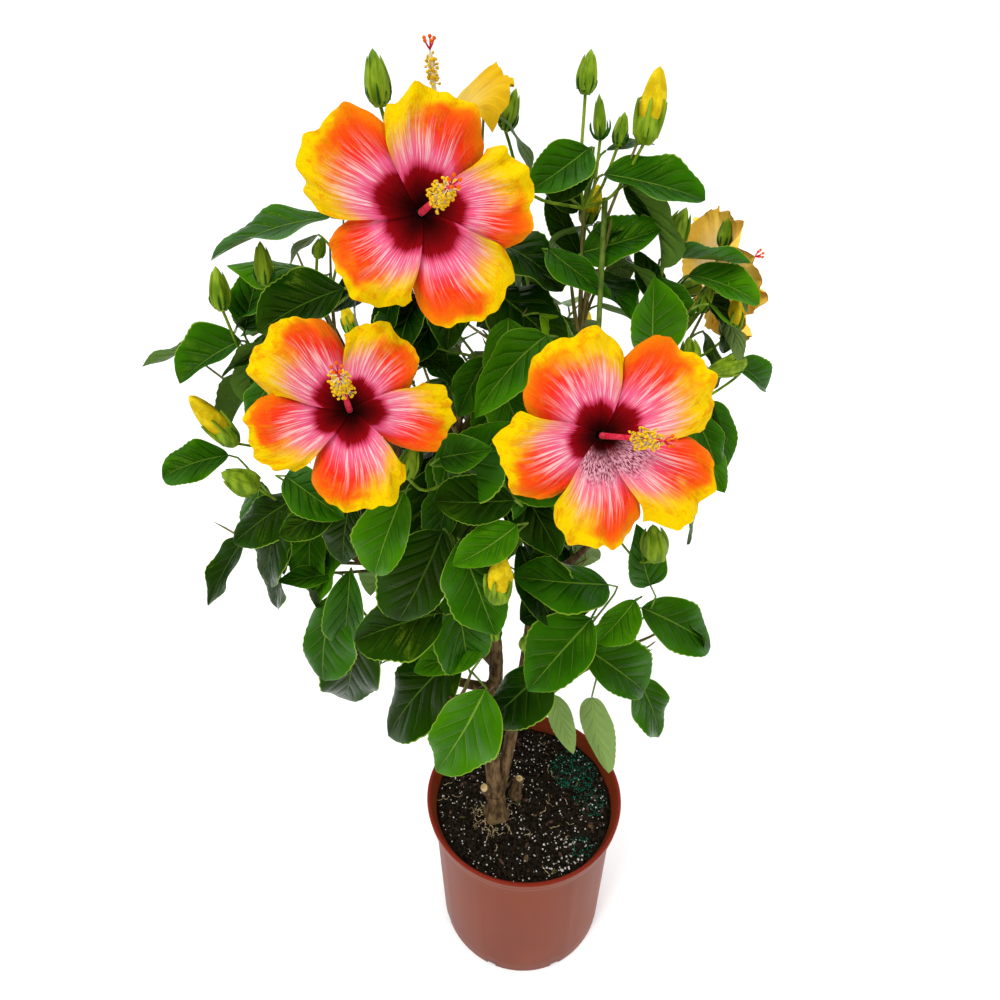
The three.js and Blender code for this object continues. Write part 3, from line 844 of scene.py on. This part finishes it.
def make_trunk_and_stems():
    """Trunk, stems and old stubs in one barked piece, and the stubs' pale faces in another."""
    wood, faces = Piece(), Piece()
    wood.add(*limb(TRUNK, 22, *TRUNK_RADII, 36, bark_relief(0.10, 70, 0.40)))
    for name, route in STEMS.items():
        wood.add(*limb(route, 110, *STEM_RADII[name], 26, bark_relief(0.10, 60), 0.3))
    for route, first, last, flare in STUBS:
        route = along(route, STUB_POINTS)
        route = np.vstack([route, route[-1] + (0, 0, 0.0003)])
        girths = rounded(np.append(np.linspace(first, last, STUB_POINTS), last), 0.05)
        wood.add(*tube(route, girths, 20, bark_relief(0.12, 90, flare)))
    for end, way in CUT_FACES:
        axes = frame_from(way, (0, 1, 0.2))
        faces.add(*blob(end, axes, (0.0044, 0.0052, 0.0009), 7, 16, 0.06, rng("scar")))
    faces.build("cut_faces", grainy("cut_wood", srgb(150, 126, 82), srgb(190, 168, 122), 240.0), "old_bark")
    nodes = ["trunk", "stem_left", "stem_right", "stub_front", "stub_back"]
    bark = bark_material("old_bark", srgb(56, 42, 26), srgb(116, 92, 62), 190.0, 0.85)
    wood.build("trunk_and_stems", bark, "old_bark", nodes)


def make_boughs():
    """The boughs in one piece. Returns each one's route by its mass."""
    boughs, routes = Piece(), {}
    for mass, (stem, share) in FEEDS.items():
        start = Vector(along(STEMS[stem], 101)[round(share * 100)])
        goal = start.lerp(middle_of(mass), BOUGH_REACH)
        first, last = STEM_RADII[stem]
        girth = first + (last - first) * share
        elbow = start.lerp(goal, 0.45) - Vector((0, 0, BOUGH_SAG * (goal - start).length))
        routes[mass] = along([start, elbow, goal], BOUGH_POINTS)
        girths = rounded(np.linspace(BOUGH_GIRTH * girth, BOUGH_TIP * girth, BOUGH_POINTS))
        boughs.add(*tube(routes[mass], girths, 12, bark_relief(0.08, 80)))
    young = bark_material("young_bark", srgb(58, 42, 28), srgb(116, 90, 58), 260.0, 0.7)
    boughs.build("boughs", young, "young_bark", nodes_named("bough_"))
    return routes


# ---------------------------------------------------------------- leaves
LEAF_ROWS = 29
# Places over a blade: T from its base to its tip, S across it from -1 to 1.
T = np.linspace(0, 1, LEAF_ROWS)[:, None]
S = np.array([[-1, -0.8, -0.45, -0.12, 0.12, 0.45, 0.8, 1]])
LEAF_QUADS, LEAF_CORNERS = grid(LEAF_ROWS, S.size)
LEAF_CORNERS = np.stack([np.interp(LEAF_CORNERS[..., 0], np.linspace(0, 1, S.size), (S[0] + 1) / 2),
                         LEAF_CORNERS[..., 1]], axis=2)
# Small blunt teeth on every other row of the outer part of the margin.
TEETH = 1 - 0.034 * (np.arange(LEAF_ROWS)[:, None] % 2) * (T > 0.42) * (T < 0.97)

TINTS = ("dark", "mid", "fresh", "young")
# Colours of each tint: deep and bright green, veins and underside.
LEAF_COLOURS = {
    "dark": ((6, 28, 1), (18, 53, 2), (70, 108, 24), (78, 110, 38)),
    "mid": ((18, 58, 2), (38, 90, 3), (104, 140, 40), (78, 110, 38)),
    "fresh": ((34, 84, 2), (56, 110, 4), (130, 162, 54), (112, 138, 74)),
    "young": ((72, 112, 6), (100, 138, 12), (148, 172, 60), (116, 140, 64)),
}
# The point along its bough where a front shoot leaves, and the range where the other twigs do.
SHOOT_FROM, TWIGS_FROM = 19, (15, 24)
# Twigs for a mass whose half sizes add up to the second number.
TWIGS_PER_MASS, USUAL_MASS = 13, 0.26
GOLDEN_ANGLE = 2.39996
# Leaves start this far along a twig, and its radius tapers to the last share.
LEAVES_FROM, TWIG_GIRTH, TWIG_TIP = 0.35, 0.0019, 0.45
# No twig behind the front shoots ends further forward than this.
FRONT_LIMIT = -0.025


def leaf_sheets(length, width, r, calm):
    """Upper and under sheets of one blade, base at the origin, tip along +X, upper side +Z.
    The outline runs from broad and blunt to slender and pointed, fuller on one side; the blade
    folds on its midrib, sags, twists and waves. calm below 1 takes that share of sag and twist."""
    base, apex = r.uniform(0.52, 0.86), r.uniform(0.58, 1.02)
    fold, curl = r.uniform(0.08, 0.75), r.uniform(-0.26, 0.04)
    droop, twist = r.uniform(0.1, 1.1) * calm, r.uniform(-0.6, 0.6) * calm
    wave, phase, sway = r.uniform(0.04, 0.11), r.uniform(0, 6), r.uniform(-0.18, 0.18)
    uneven, ripple = 1 + r.uniform(-0.22, 0.22) * S, r.uniform(8, 13)
    widest = base / (base + apex)
    outline = (T / widest) ** base * ((1 - T) / (1 - widest)) ** apex
    ragged = 1 + 0.025 * np.sin(T * r.uniform(9, 15) + phase) * np.sign(S)
    half = outline * TEETH * uneven * ragged * width / 2
    lift = fold * np.abs(S) * half + curl * width * S ** 2 * outline
    lift = lift + wave * width * S ** 2 * np.sin(T * ripple + phase + 1.5 * np.sign(S)) * np.sin(math.pi * T)
    roll = twist * T
    y = S * half * np.cos(roll) - lift * np.sin(roll) + sway * length * T ** 2
    z = S * half * np.sin(roll) + lift * np.cos(roll)
    bend = droop * T ** 1.3
    step = length / (LEAF_ROWS - 1)
    x_mid = np.concatenate([[[0]], np.cumsum(np.cos(bend[:-1]), axis=0) * step])
    z_mid = -np.concatenate([[[0]], np.cumsum(np.sin(bend[:-1]), axis=0) * step])
    top = np.stack([x_mid + np.sin(bend) * z, y, z_mid + np.cos(bend) * z], axis=2)
    thin = 0.0005 * (1 - np.abs(S) ** 4) * np.sin(math.pi * np.clip(T, 0.02, 0.98)) ** 0.3
    return top, lowered(top, thin)


def add_leaf(piece, base, tip_way, face_way, length, width, r, calm=1.0):
    """Places one blade: tip_way is where its tip goes, face_way what its upper side faces."""
    x = unit(tip_way)
    z = unit(Vector(face_way) - x * Vector(face_way).dot(x))
    turn = np.array([tuple(x), tuple(z.cross(x)), tuple(z)])
    top, under = leaf_sheets(length, width, r, calm)
    tile = LEAF_CORNERS * (0.46, 0.96) + (0.02, 0.02)
    piece.add(top.reshape(-1, 3) @ turn + np.array(base), LEAF_QUADS, tile)
    piece.add(under.reshape(-1, 3) @ turn + np.array(base), LEAF_QUADS[:, FLIP], tile[:, FLIP] + (0.5, 0.0))


class Foliage:
    """Gathers leaves by tint, with their petioles and twigs."""

    def __init__(self):
        self.leaves = {tint: Piece() for tint in TINTS}
        self.petioles, self.twigs = Piece(), Piece()
        self.masses = [(middle_of(mass), half_of(mass)) for mass in FEEDS]
        self.nodes = []

    def blocked(self, place):
        """Nothing grows across the face of a large bloom, or well clear of every mass."""
        for bloom in BLOOMS.values():
            offset = place - Vector(bloom["at"])
            facing = unit(bloom["facing"])
            ahead = offset.dot(facing)
            if ahead > -0.012 and (offset - facing * ahead).length < 0.50 * bloom["width"]:
                return True
        reach = [sum(((place - middle)[k] / half[k]) ** 2 for k in range(3)) for middle, half in self.masses]
        return min(reach) > 1.15

    def leaf(self, node, way, tip_way, face_way, length, tint, r):
        """One leaf on its petiole from a node of a twig, unless something is in its way."""
        petiole = r.uniform(0.12, 0.3) * length
        base = node + unit(way) * petiole
        tip = base + unit(tip_way) * length
        if self.blocked(tip) or self.blocked(base.lerp(tip, 0.5)) or self.blocked(base):
            return
        add_leaf(self.leaves[tint], base, tip_way, face_way, length, length * r.uniform(0.56, 0.70), r)
        bend = node.lerp(base, 0.5) + 0.08 * petiole * UP
        route = along([node, bend, base], 5)
        self.petioles.add(*tube(route, (0.0014, 0.0011, 0.0010, 0.0010, 0.0009), 5))

    def shoot(self, mass, bough, leaves):
        """One front shoot: a twig out of the bough, and its leaves set one by one."""
        r = rng("shoot", mass, leaves[0][0])
        feet = [Vector(leaf[:3]) / 1000 for leaf in leaves]
        start = Vector(bough[SHOOT_FROM])
        node = (sum(feet, Vector()) / len(feet)).lerp(start, 0.25)
        bend = start.lerp(node, 0.5) - 0.08 * (node - start).length * UP
        route = along([start, bend, node], TWIG_POINTS)
        self.twigs.add(*tube(route, np.linspace(0.0024, 0.0013, TWIG_POINTS), 8))
        for foot, (_, _, _, bearing, fall, length, tint, tilt, breadth) in zip(feet, leaves):
            bearing, fall, tilt = math.radians(bearing), math.radians(fall), math.radians(tilt)
            length = length / 1000
            tip_way = heading(bearing, -fall)
            face_way = Vector((0.12 * math.cos(bearing), -math.sin(tilt), math.cos(tilt)))
            width = 0.88 * breadth * length
            add_leaf(self.leaves[tint], foot, tip_way, face_way, length, width, r, calm=0.6)
            near = Vector(route[np.linalg.norm(route - np.array(foot), axis=1).argmin()])
            back = foot - tip_way * 0.12 * (foot - near).length - 0.1 * (foot - near).length * UP
            self.petioles.add(*limb([near, back, foot], 9, 0.0013, 0.0009, 6))
        self.nodes.append(node)

    def twig(self, start, end, leaves, size, tint, r, droop):
        """A shoot from start to end with leaves set spirally along its outer part."""
        bend = start.lerp(end, 0.5) + stray(r, -0.6) * 0.09 * (end - start).length
        route = along([start, bend, end], TWIG_POINTS)
        girths = rounded(np.linspace(TWIG_GIRTH, TWIG_TIP * TWIG_GIRTH, TWIG_POINTS))
        self.twigs.add(*tube(route, girths, 6))
        spiral = r.uniform(0, TURN)
        for k in range(leaves):
            share = LEAVES_FROM + (1 - LEAVES_FROM) * (k + 0.6) / leaves
            spot = min(TWIG_POINTS - 2, int(share * (TWIG_POINTS - 1)))
            node = Vector(route[spot])
            tangent = unit(Vector(route[spot + 1]) - node)
            side, up, _ = frame_from(tangent, (0.1, 0.2, 1.0))
            spiral += math.radians(r.gauss(144, 14))
            radial = spoke(side, up, spiral)
            outward = unit((node - CROWN_AXIS) * LEVEL)
            level = unit(radial * LEVEL * 0.9 + outward * 0.9 + stray(r, 0) * 0.35)
            fall = droop + r.gauss(0, 0.22)
            tip_way = level * math.cos(fall) - UP * math.sin(fall)
            face_way = level * math.sin(fall) + UP * math.cos(fall)
            face_way += Vector((r.gauss(0, 0.22), r.gauss(0, 0.22), 0)) + outward * 0.25
            way = radial * 0.8 + tangent * 0.6 + 0.15 * UP
            age = (k + 0.5) / leaves
            length = size * (1.08 - 0.45 * age ** 2) * r.uniform(0.85, 1.12)
            younger = TINTS[TINTS.index(tint) + 1]
            self.leaf(node, way, tip_way, face_way, length, tint if age < 0.8 else younger, r)

    def grow(self, mass, bough):
        """Fills one mass: twigs fan out from its bough towards its outside."""
        r = rng("grow", mass)
        middle, half = middle_of(mass), half_of(mass)
        height = (middle.z - CROWN_FOOT) / CROWN_HEIGHT
        outward = (middle - CROWN_AXIS) * LEVEL
        count = round(TWIGS_PER_MASS * (half.x + half.y + half.z) / USUAL_MASS * FILL.get(mass, 1.0))
        for k in range(count):
            level = 1 - 2 * (k + 0.5) / count
            angle = k * GOLDEN_ANGLE + r.uniform(-0.4, 0.4)
            ring = math.sqrt(1 - level * level)
            way = Vector((ring * math.cos(angle), ring * math.sin(angle), level + 0.15))
            if outward.length > 0.08 and way.dot(unit(outward)) < -0.55:
                continue
            start = Vector(bough[r.randint(*TWIGS_FROM)])
            end = middle + way * half * r.uniform(0.58, 0.78)
            end.y = max(end.y, FRONT_LIMIT)
            tint = r.choices(TINTS[:3], (0.5, 0.4, 0.1))[0]
            size = (0.098 - 0.030 * height) * r.uniform(0.85, 1.15)
            self.twig(start, end, r.randint(3, 5), size, tint, r, 0.95 - 0.5 * height)


def make_foliage(boughs):
    """All leaves, petioles and twigs. Returns where the front shoots end."""
    foliage = Foliage()
    for mass, bough in boughs.items():
        foliage.grow(mass, bough)
    for mass, leaves in SHOOTS:
        foliage.shoot(mass, boughs[mass], leaves)
    for tint, piece in foliage.leaves.items():
        look = leaf_material("leaf_" + tint, *[srgb(*colour) for colour in LEAF_COLOURS[tint]])
        piece.build("leaves_" + tint, look, "foliage", nodes_named("foliage_") if tint == "mid" else ())
    stalk = green_wood("petiole", srgb(74, 104, 26), srgb(108, 134, 44))
    foliage.petioles.build("petioles", stalk, "foliage")
    foliage.twigs.build("twigs", green_wood("twig", srgb(88, 84, 40), srgb(120, 112, 58)), "young_bark")
    return foliage.nodes


# ---------------------------------------------------------------- blooms
PETAL_ROWS, PETAL_COLUMNS = 31, 41
# Places over a petal: PT from its throat to its rim, PS across it from -1 to 1.
PT = np.linspace(0, 1, PETAL_ROWS)[:, None]
PS = np.linspace(-1, 1, PETAL_COLUMNS)[None, :]
PETAL_QUADS, PETAL_CORNERS = grid(PETAL_ROWS, PETAL_COLUMNS)

# The small parts, each gathered in one piece from all blooms and buds: its name, slot, kind of
# material and that material's own name, two colours and finish.
FLOWER_PARTS = {
    "columns": ("flower_columns", "petal", grainy, "column", (180, 26, 50), (200, 62, 80), 300.0, 0.5, 0.1),
    "filaments": ("flower_filaments", "petal", grainy, "filament", (208, 192, 136), (216, 206, 164),
                  300.0, 0.6, 0.1),
    "anthers": ("flower_anthers", "petal", grainy, "anther", (208, 160, 12), (216, 182, 40),
                900.0, 0.8, 0.3),
    "stigmas": ("flower_stigmas", "petal", grainy, "stigma", (204, 66, 10), (214, 104, 18), 900.0, 0.8, 0.3),
    "sepals": ("calyces", "foliage", green_wood, "calyx", (78, 108, 10), (122, 148, 30)),
    "bracts": ("bracts", "foliage", green_wood, "bract", (16, 60, 10), (30, 82, 16)),
    "furled": ("furled_petals", "petal", grainy, "furled", (176, 150, 8), (206, 182, 22), 120.0, 0.6, 0.5),
}
ANTHER_TURN = 2.4
BRACT_GIRTHS = (0.0011, 0.0011, 0.0010, 0.0009, 0.0008, 0.0006, 0.0004)
COLUMN_LENGTH = 0.046
THROAT = 0.0035


def petal(bearing, spread, reach, width, cup, hand, r):
    """Front and back sheets of one petal in the bloom's own frame, +Z to the front.
    The yellow side stands out further, ruffles more and lies over the next petal's red side."""
    def waves(least, most, drift=0.0):
        return np.sin(PS * r.uniform(least, most) + drift + r.uniform(0, 6))

    sunny = hand * PS
    shoulder = 1 + 0.05 * sunny - np.where(sunny > 0, 0.26, 0.38) * np.abs(PS) ** 3
    frill = 0.022 * waves(7, 10) + 0.014 * waves(15, 20) * (1 + 0.7 * sunny) + 0.006 * waves(30, 38)
    rim = reach * width / 2 * (shoulder + frill)
    radius = THROAT + (rim - THROAT) * PT
    angle = np.radians(bearing + spread * PS * (1.05 + 0.36 * (1 - PT) ** 1.6))
    angle = angle + np.radians(2.6) * np.sin(PT * 9 + r.uniform(0, 6)) * PT ** 3
    outer = np.clip((PT - 0.70) / 0.30, 0, 1) ** 2
    out = radius / (width / 2)
    height = cup * out ** 1.3 - 0.010 * np.clip(1 - out, 0, 1) ** 3 + 0.0038 * sunny * np.sqrt(PT)
    curl = r.uniform(0.002, 0.008) * np.abs(PS)
    height = height - outer * (0.003 + curl + 0.005 * np.clip(sunny, 0, 1))
    ruffle = 0.0038 * waves(5.5, 7.5) + 0.0022 * waves(13, 17, 6 * PT) * (1 + 0.5 * sunny)
    ruffle = ruffle + 0.0009 * waves(26, 34, 9 * PT)
    height = height + ruffle * PT ** 3 + 0.0024 * (1 - PS ** 2) * np.sin(math.pi * PT)
    front = np.stack([radius * np.cos(angle), radius * np.sin(angle), height], axis=2)
    return front, lowered(front, 0.0007 * (1 - np.abs(PS) ** 4))


def make_bloom(name, bloom, look, parts, replaces=()):
    """Five petals in one piece; the stamen column, calyx and bracts go to the shared parts. The
    large blooms, which replace a node, have a stouter column with more anthers."""
    r = rng("bloom", name)
    axes = np.array([tuple(a) for a in frame_from(bloom["facing"], UP)])
    at = np.array(bloom["at"])

    def out(points):
        return np.asarray(points, float) @ axes + at

    corolla = Piece()
    for k, (bearing, spread, reach) in enumerate(bloom["petals"]):
        front, back = petal(bearing, spread, reach, bloom["width"], bloom["cup"], bloom["hand"], r)
        tile = (PETAL_CORNERS * (0.19, 0.49)) + (k * 0.2 + 0.005, 0.505)
        corolla.add(out(front.reshape(-1, 3)), PETAL_QUADS, tile)
        corolla.add(out(back.reshape(-1, 3)), PETAL_QUADS[:, FLIP], tile[:, FLIP] - (0, 0.5))
    corolla.build("petals_" + name, look, "petal", replaces)

    column_end = np.array((*bloom["lean"], 1.0)) * COLUMN_LENGTH
    route = along([(0, 0, -0.006), column_end * 0.5 + (0, 0, 0.002), column_end], 18)
    column = tube(out(route), rounded(np.linspace(0.0023, 0.0013, 18)), 10)
    parts["columns" if replaces else "filaments"].add(*column)
    way = unit(column_end)
    side, up, _ = frame_from(way, (0, 1, 0))
    way = np.array(way)
    anthers, burst = (110, 0.0072) if replaces else (46, 0.0042)
    for k in range(anthers):
        spot = route[min(17, int((0.64 + 0.32 * k / anthers) * 17))]
        radial = np.array(spoke(side, up, k * ANTHER_TURN))
        tip = spot + radial * r.uniform(0.4, 1.0) * burst + way * r.uniform(-0.002, 0.002)
        parts["filaments"].add(*tube(out([spot, (spot + tip) / 2 + way * 0.0006, tip]), 0.0003, 4))
        tilt = frame_from(stray(r, 1), (0.2, 1, 0.1))
        parts["anthers"].add(*blob(out([tip])[0], tilt, (0.0013, 0.0009, 0.0009), 5, 6))
    for k in range(5):
        radial = np.array(spoke(side, up, k * TURN / 5 + 0.3))
        tip = column_end + way * 0.0065 + radial * 0.0034
        style = [column_end, (column_end + tip) / 2 + radial * 0.0004, tip]
        parts["columns"].add(*tube(out(style), 0.0005, 5))
        stigma = blob(out([tip])[0], frame_from(axes[2], (0, 0.1, 1)), (0.0013, 0.0013, 0.0012), 6, 8)
        parts["stigmas"].add(*stigma)

    calyx = [(0, 0, z) for z in np.linspace(-0.0125, -0.036, 10)]
    radii = [0.0066, 0.0072, 0.0074, 0.0074, 0.0072, 0.0070, 0.0064, 0.0052, 0.0030, 0.0016]
    parts["sepals"].add(*tube(out(calyx), radii, 15))
    add_bracts(parts["bracts"], at + axes[2] * -0.032, -axes[2], 0.016, r)


def add_bracts(piece, base, back_way, length, r):
    """Seven narrow epicalyx bracts that spread and curl forward round the base of a calyx."""
    forward = unit(-Vector(back_way))
    side, up, _ = frame_from(forward, (0.1, 0.2, 1))
    for k in range(7):
        radial = spoke(side, up, TURN * k / 7 + r.uniform(-0.2, 0.2))
        bends = ((0, 0), (0.35, 0.1), (0.62, 0.55), (0.60, r.uniform(0.85, 1.05)))
        points = [Vector(base) + radial * a * length + forward * b * length for a, b in bends]
        piece.add(*tube(along(points, 7), rounded(BRACT_GIRTHS), 5))


def add_bud(parts, stalk_foot, foot, bearing, rise, length, width, opening, r):
    """A bud: ribbed calyx ending in five points, furled petals inside it, bracts and a stalk."""
    foot = Vector(foot) / 1000
    way = heading(math.radians(bearing), math.radians(rise))
    length, girth = length / 1000, width / 2000
    closed = 1 - 0.5 * opening
    share = np.linspace(0, 1, 14)
    swell = np.sin(math.pi * np.clip(share, 0.03, 1) ** 0.62) ** 0.75 + 0.05

    def ribs(_, around, up):
        return 1 + 0.07 * math.cos(5 * around) * (1 - up) + 0.03 * math.cos(10 * around + 2)

    def twisted(_, around, up):
        return 1 + 0.10 * math.cos(5 * around + 5 * up)

    body = [foot + way * length * closed * s for s in share]
    parts["sepals"].add(*tube(body, rounded(girth * swell, 0.2), 20, ribs))
    if opening > 0.25:
        inner = [foot + way * length * (0.25 + 0.75 * s) for s in share]
        girths = rounded(girth * (0.80 + 0.25 * opening) * swell ** 0.8, 0.2)
        parts["furled"].add(*tube(inner, girths, 20, twisted))
    # The calyx's points: how far up the bud and how far out each bend of one is.
    bends = ((0.12, 0.72), (0.34, 1.0), (0.56, 0.92 + 0.2 * opening),
             (0.78 * closed + 0.1, 0.55 + 0.4 * opening))
    side, up, _ = frame_from(way, (0.3, 0.2, 1))
    for k in range(5):
        out = spoke(side, up, k * TURN / 5 + 0.2) * girth
        points = [foot + way * length * a + out * b * (1.02 + 0.10 * opening) for a, b in bends]
        parts["sepals"].add(*limb(points, 9, 0.30 * girth, 0.10 * girth, 6, end=0.3))
    add_bracts(parts["bracts"], foot + way * 0.001, -way, min(0.014, 0.4 * length), r)
    hang = foot.lerp(stalk_foot, 0.4) - way * 0.25 * (foot - stalk_foot).length
    parts["sepals"].add(*limb([stalk_foot, hang, foot + way * 0.001], 12, 0.0013, 0.0012, 7))


def make_blooms(boughs, nodes):
    """All blooms and buds. Each bud's stalk comes from the nearest point of a bough or shoot."""
    parts = {part: Piece() for part in FLOWER_PARTS}
    for seed, (name, bloom) in enumerate(BLOOMS.items()):
        look = petal_material("petal_" + name, bloom["hand"], 11.0 * seed + 3.0, bloom["eye"],
                              SPECKLED.get(name, ()))
        make_bloom(name, bloom, look, parts, ["bloom_" + name])
    for name, colours in OLD_COLOURS.items():
        look = aged_petal_material("petal_" + name, *[srgb(*colour) for colour in colours])
        make_bloom(name, OLD_BLOOMS[name], look, parts)
    starts = [Vector(point) for bough in boughs.values() for point in bough] + nodes
    for foot, *rest in BUDS:
        below = Vector(foot) / 1000 + Vector((0, 0.02, -0.03))
        near = min(starts, key=lambda start: (start - below).length)
        add_bud(parts, near, foot, *rest, rng("bud", *foot))
    for part, (name, slot, kind, look, first, second, *finish) in FLOWER_PARTS.items():
        parts[part].build(name, kind(look, srgb(*first), srgb(*second), *finish), slot)


def make_stalks():
    """The bloom stalks, from the back of each calyx into the mass behind it."""
    stalks = Piece()
    for name, bloom in BLOOMS.items():
        goal = middle_of(BLOOM_MASSES[name])
        calyx = Vector(bloom["at"]) - unit(bloom["facing"]) * 0.030
        bend = calyx.lerp(goal, 0.4) - 0.012 * UP
        stalks.add(*limb([goal, bend, calyx], 20, 0.0024, 0.0018, 8))
    green = green_wood("bloom_stalk", srgb(58, 82, 22), srgb(88, 108, 38))
    stalks.build("bloom_stalks", green, "young_bark", nodes_named("stalk_"))


# ---------------------------------------------------------------- stage, light and camera
def make_floor():
    bpy.ops.mesh.primitive_plane_add(size=400, location=(0, 0, 0))
    floor = bpy.context.object
    floor.name = "floor"
    s = Shader("floor_white", 0.9, 0.1)
    paper = s.noise(s.place(), 3.0, 2.0)
    floor.data.materials.append(s.finish(s.mix(paper, (0.95, 0.95, 0.95, 1), (0.97, 0.97, 0.97, 1))))


def make_sky():
    """White all round, dimmer half way up and brighter overhead."""
    world = bpy.data.worlds.new("soft_sky")
    world.use_nodes = True
    tree = world.node_tree
    sky = tree.nodes["Background"]
    sky.inputs[0].default_value = (1.0, 1.0, 1.0, 1.0)
    split = tree.nodes.new("ShaderNodeSeparateXYZ")
    tree.links.new(tree.nodes.new("ShaderNodeTexCoord").outputs["Generated"], split.inputs[0])
    total = tree.nodes.new("ShaderNodeMath")
    for k, limits in enumerate([(0.10, 0.45, 1.0, 0.72), (0.45, 0.90, 0.0, 1.0)]):
        step = tree.nodes.new("ShaderNodeMapRange")
        step.interpolation_type = "SMOOTHSTEP"
        tree.links.new(split.outputs[2], step.inputs["Value"])
        for socket, value in zip(("From Min", "From Max", "To Min", "To Max"), limits):
            step.inputs[socket].default_value = value
        tree.links.new(step.outputs[0], total.inputs[k])
    tree.links.new(total.outputs[0], sky.inputs[1])
    bpy.context.scene.world = world


def make_lamp(name, at, aim, size, power):
    lamp = bpy.data.lights.new(name, "AREA")
    lamp.shape, lamp.size, lamp.energy = "DISK", size, power
    light = bpy.data.objects.new(name, lamp)
    light.location = at
    light.rotation_euler = (Vector(aim) - Vector(at)).to_track_quat("-Z", "Y").to_euler()
    bpy.context.scene.collection.objects.link(light)


def make_camera():
    camera = bpy.data.cameras.new("camera")
    camera.lens, camera.sensor_width = 26.0, 36.0
    camera.dof.use_dof = False
    holder = bpy.data.objects.new("camera", camera)
    holder.location = (-0.0313, -0.585, 1.083)
    holder.rotation_euler = (math.radians(90 - 33.3), 0, 0)
    bpy.context.scene.collection.objects.link(holder)
    bpy.context.scene.camera = holder
    bpy.context.scene.view_settings.view_transform = "Standard"


make_camera()
make_floor()
make_sky()
make_lamp("key", (-1.2, -1.6, 3.0), (0, 0, 0.7), 1.0, 44)
make_lamp("fill", (1.8, -1.6, 1.6), (0, 0, 0.6), 1.6, 8)
make_pot()
make_soil()
make_trunk_and_stems()
bough_routes = make_boughs()
make_stalks()
shoot_nodes = make_foliage(bough_routes)
make_blooms(bough_routes, shoot_nodes)
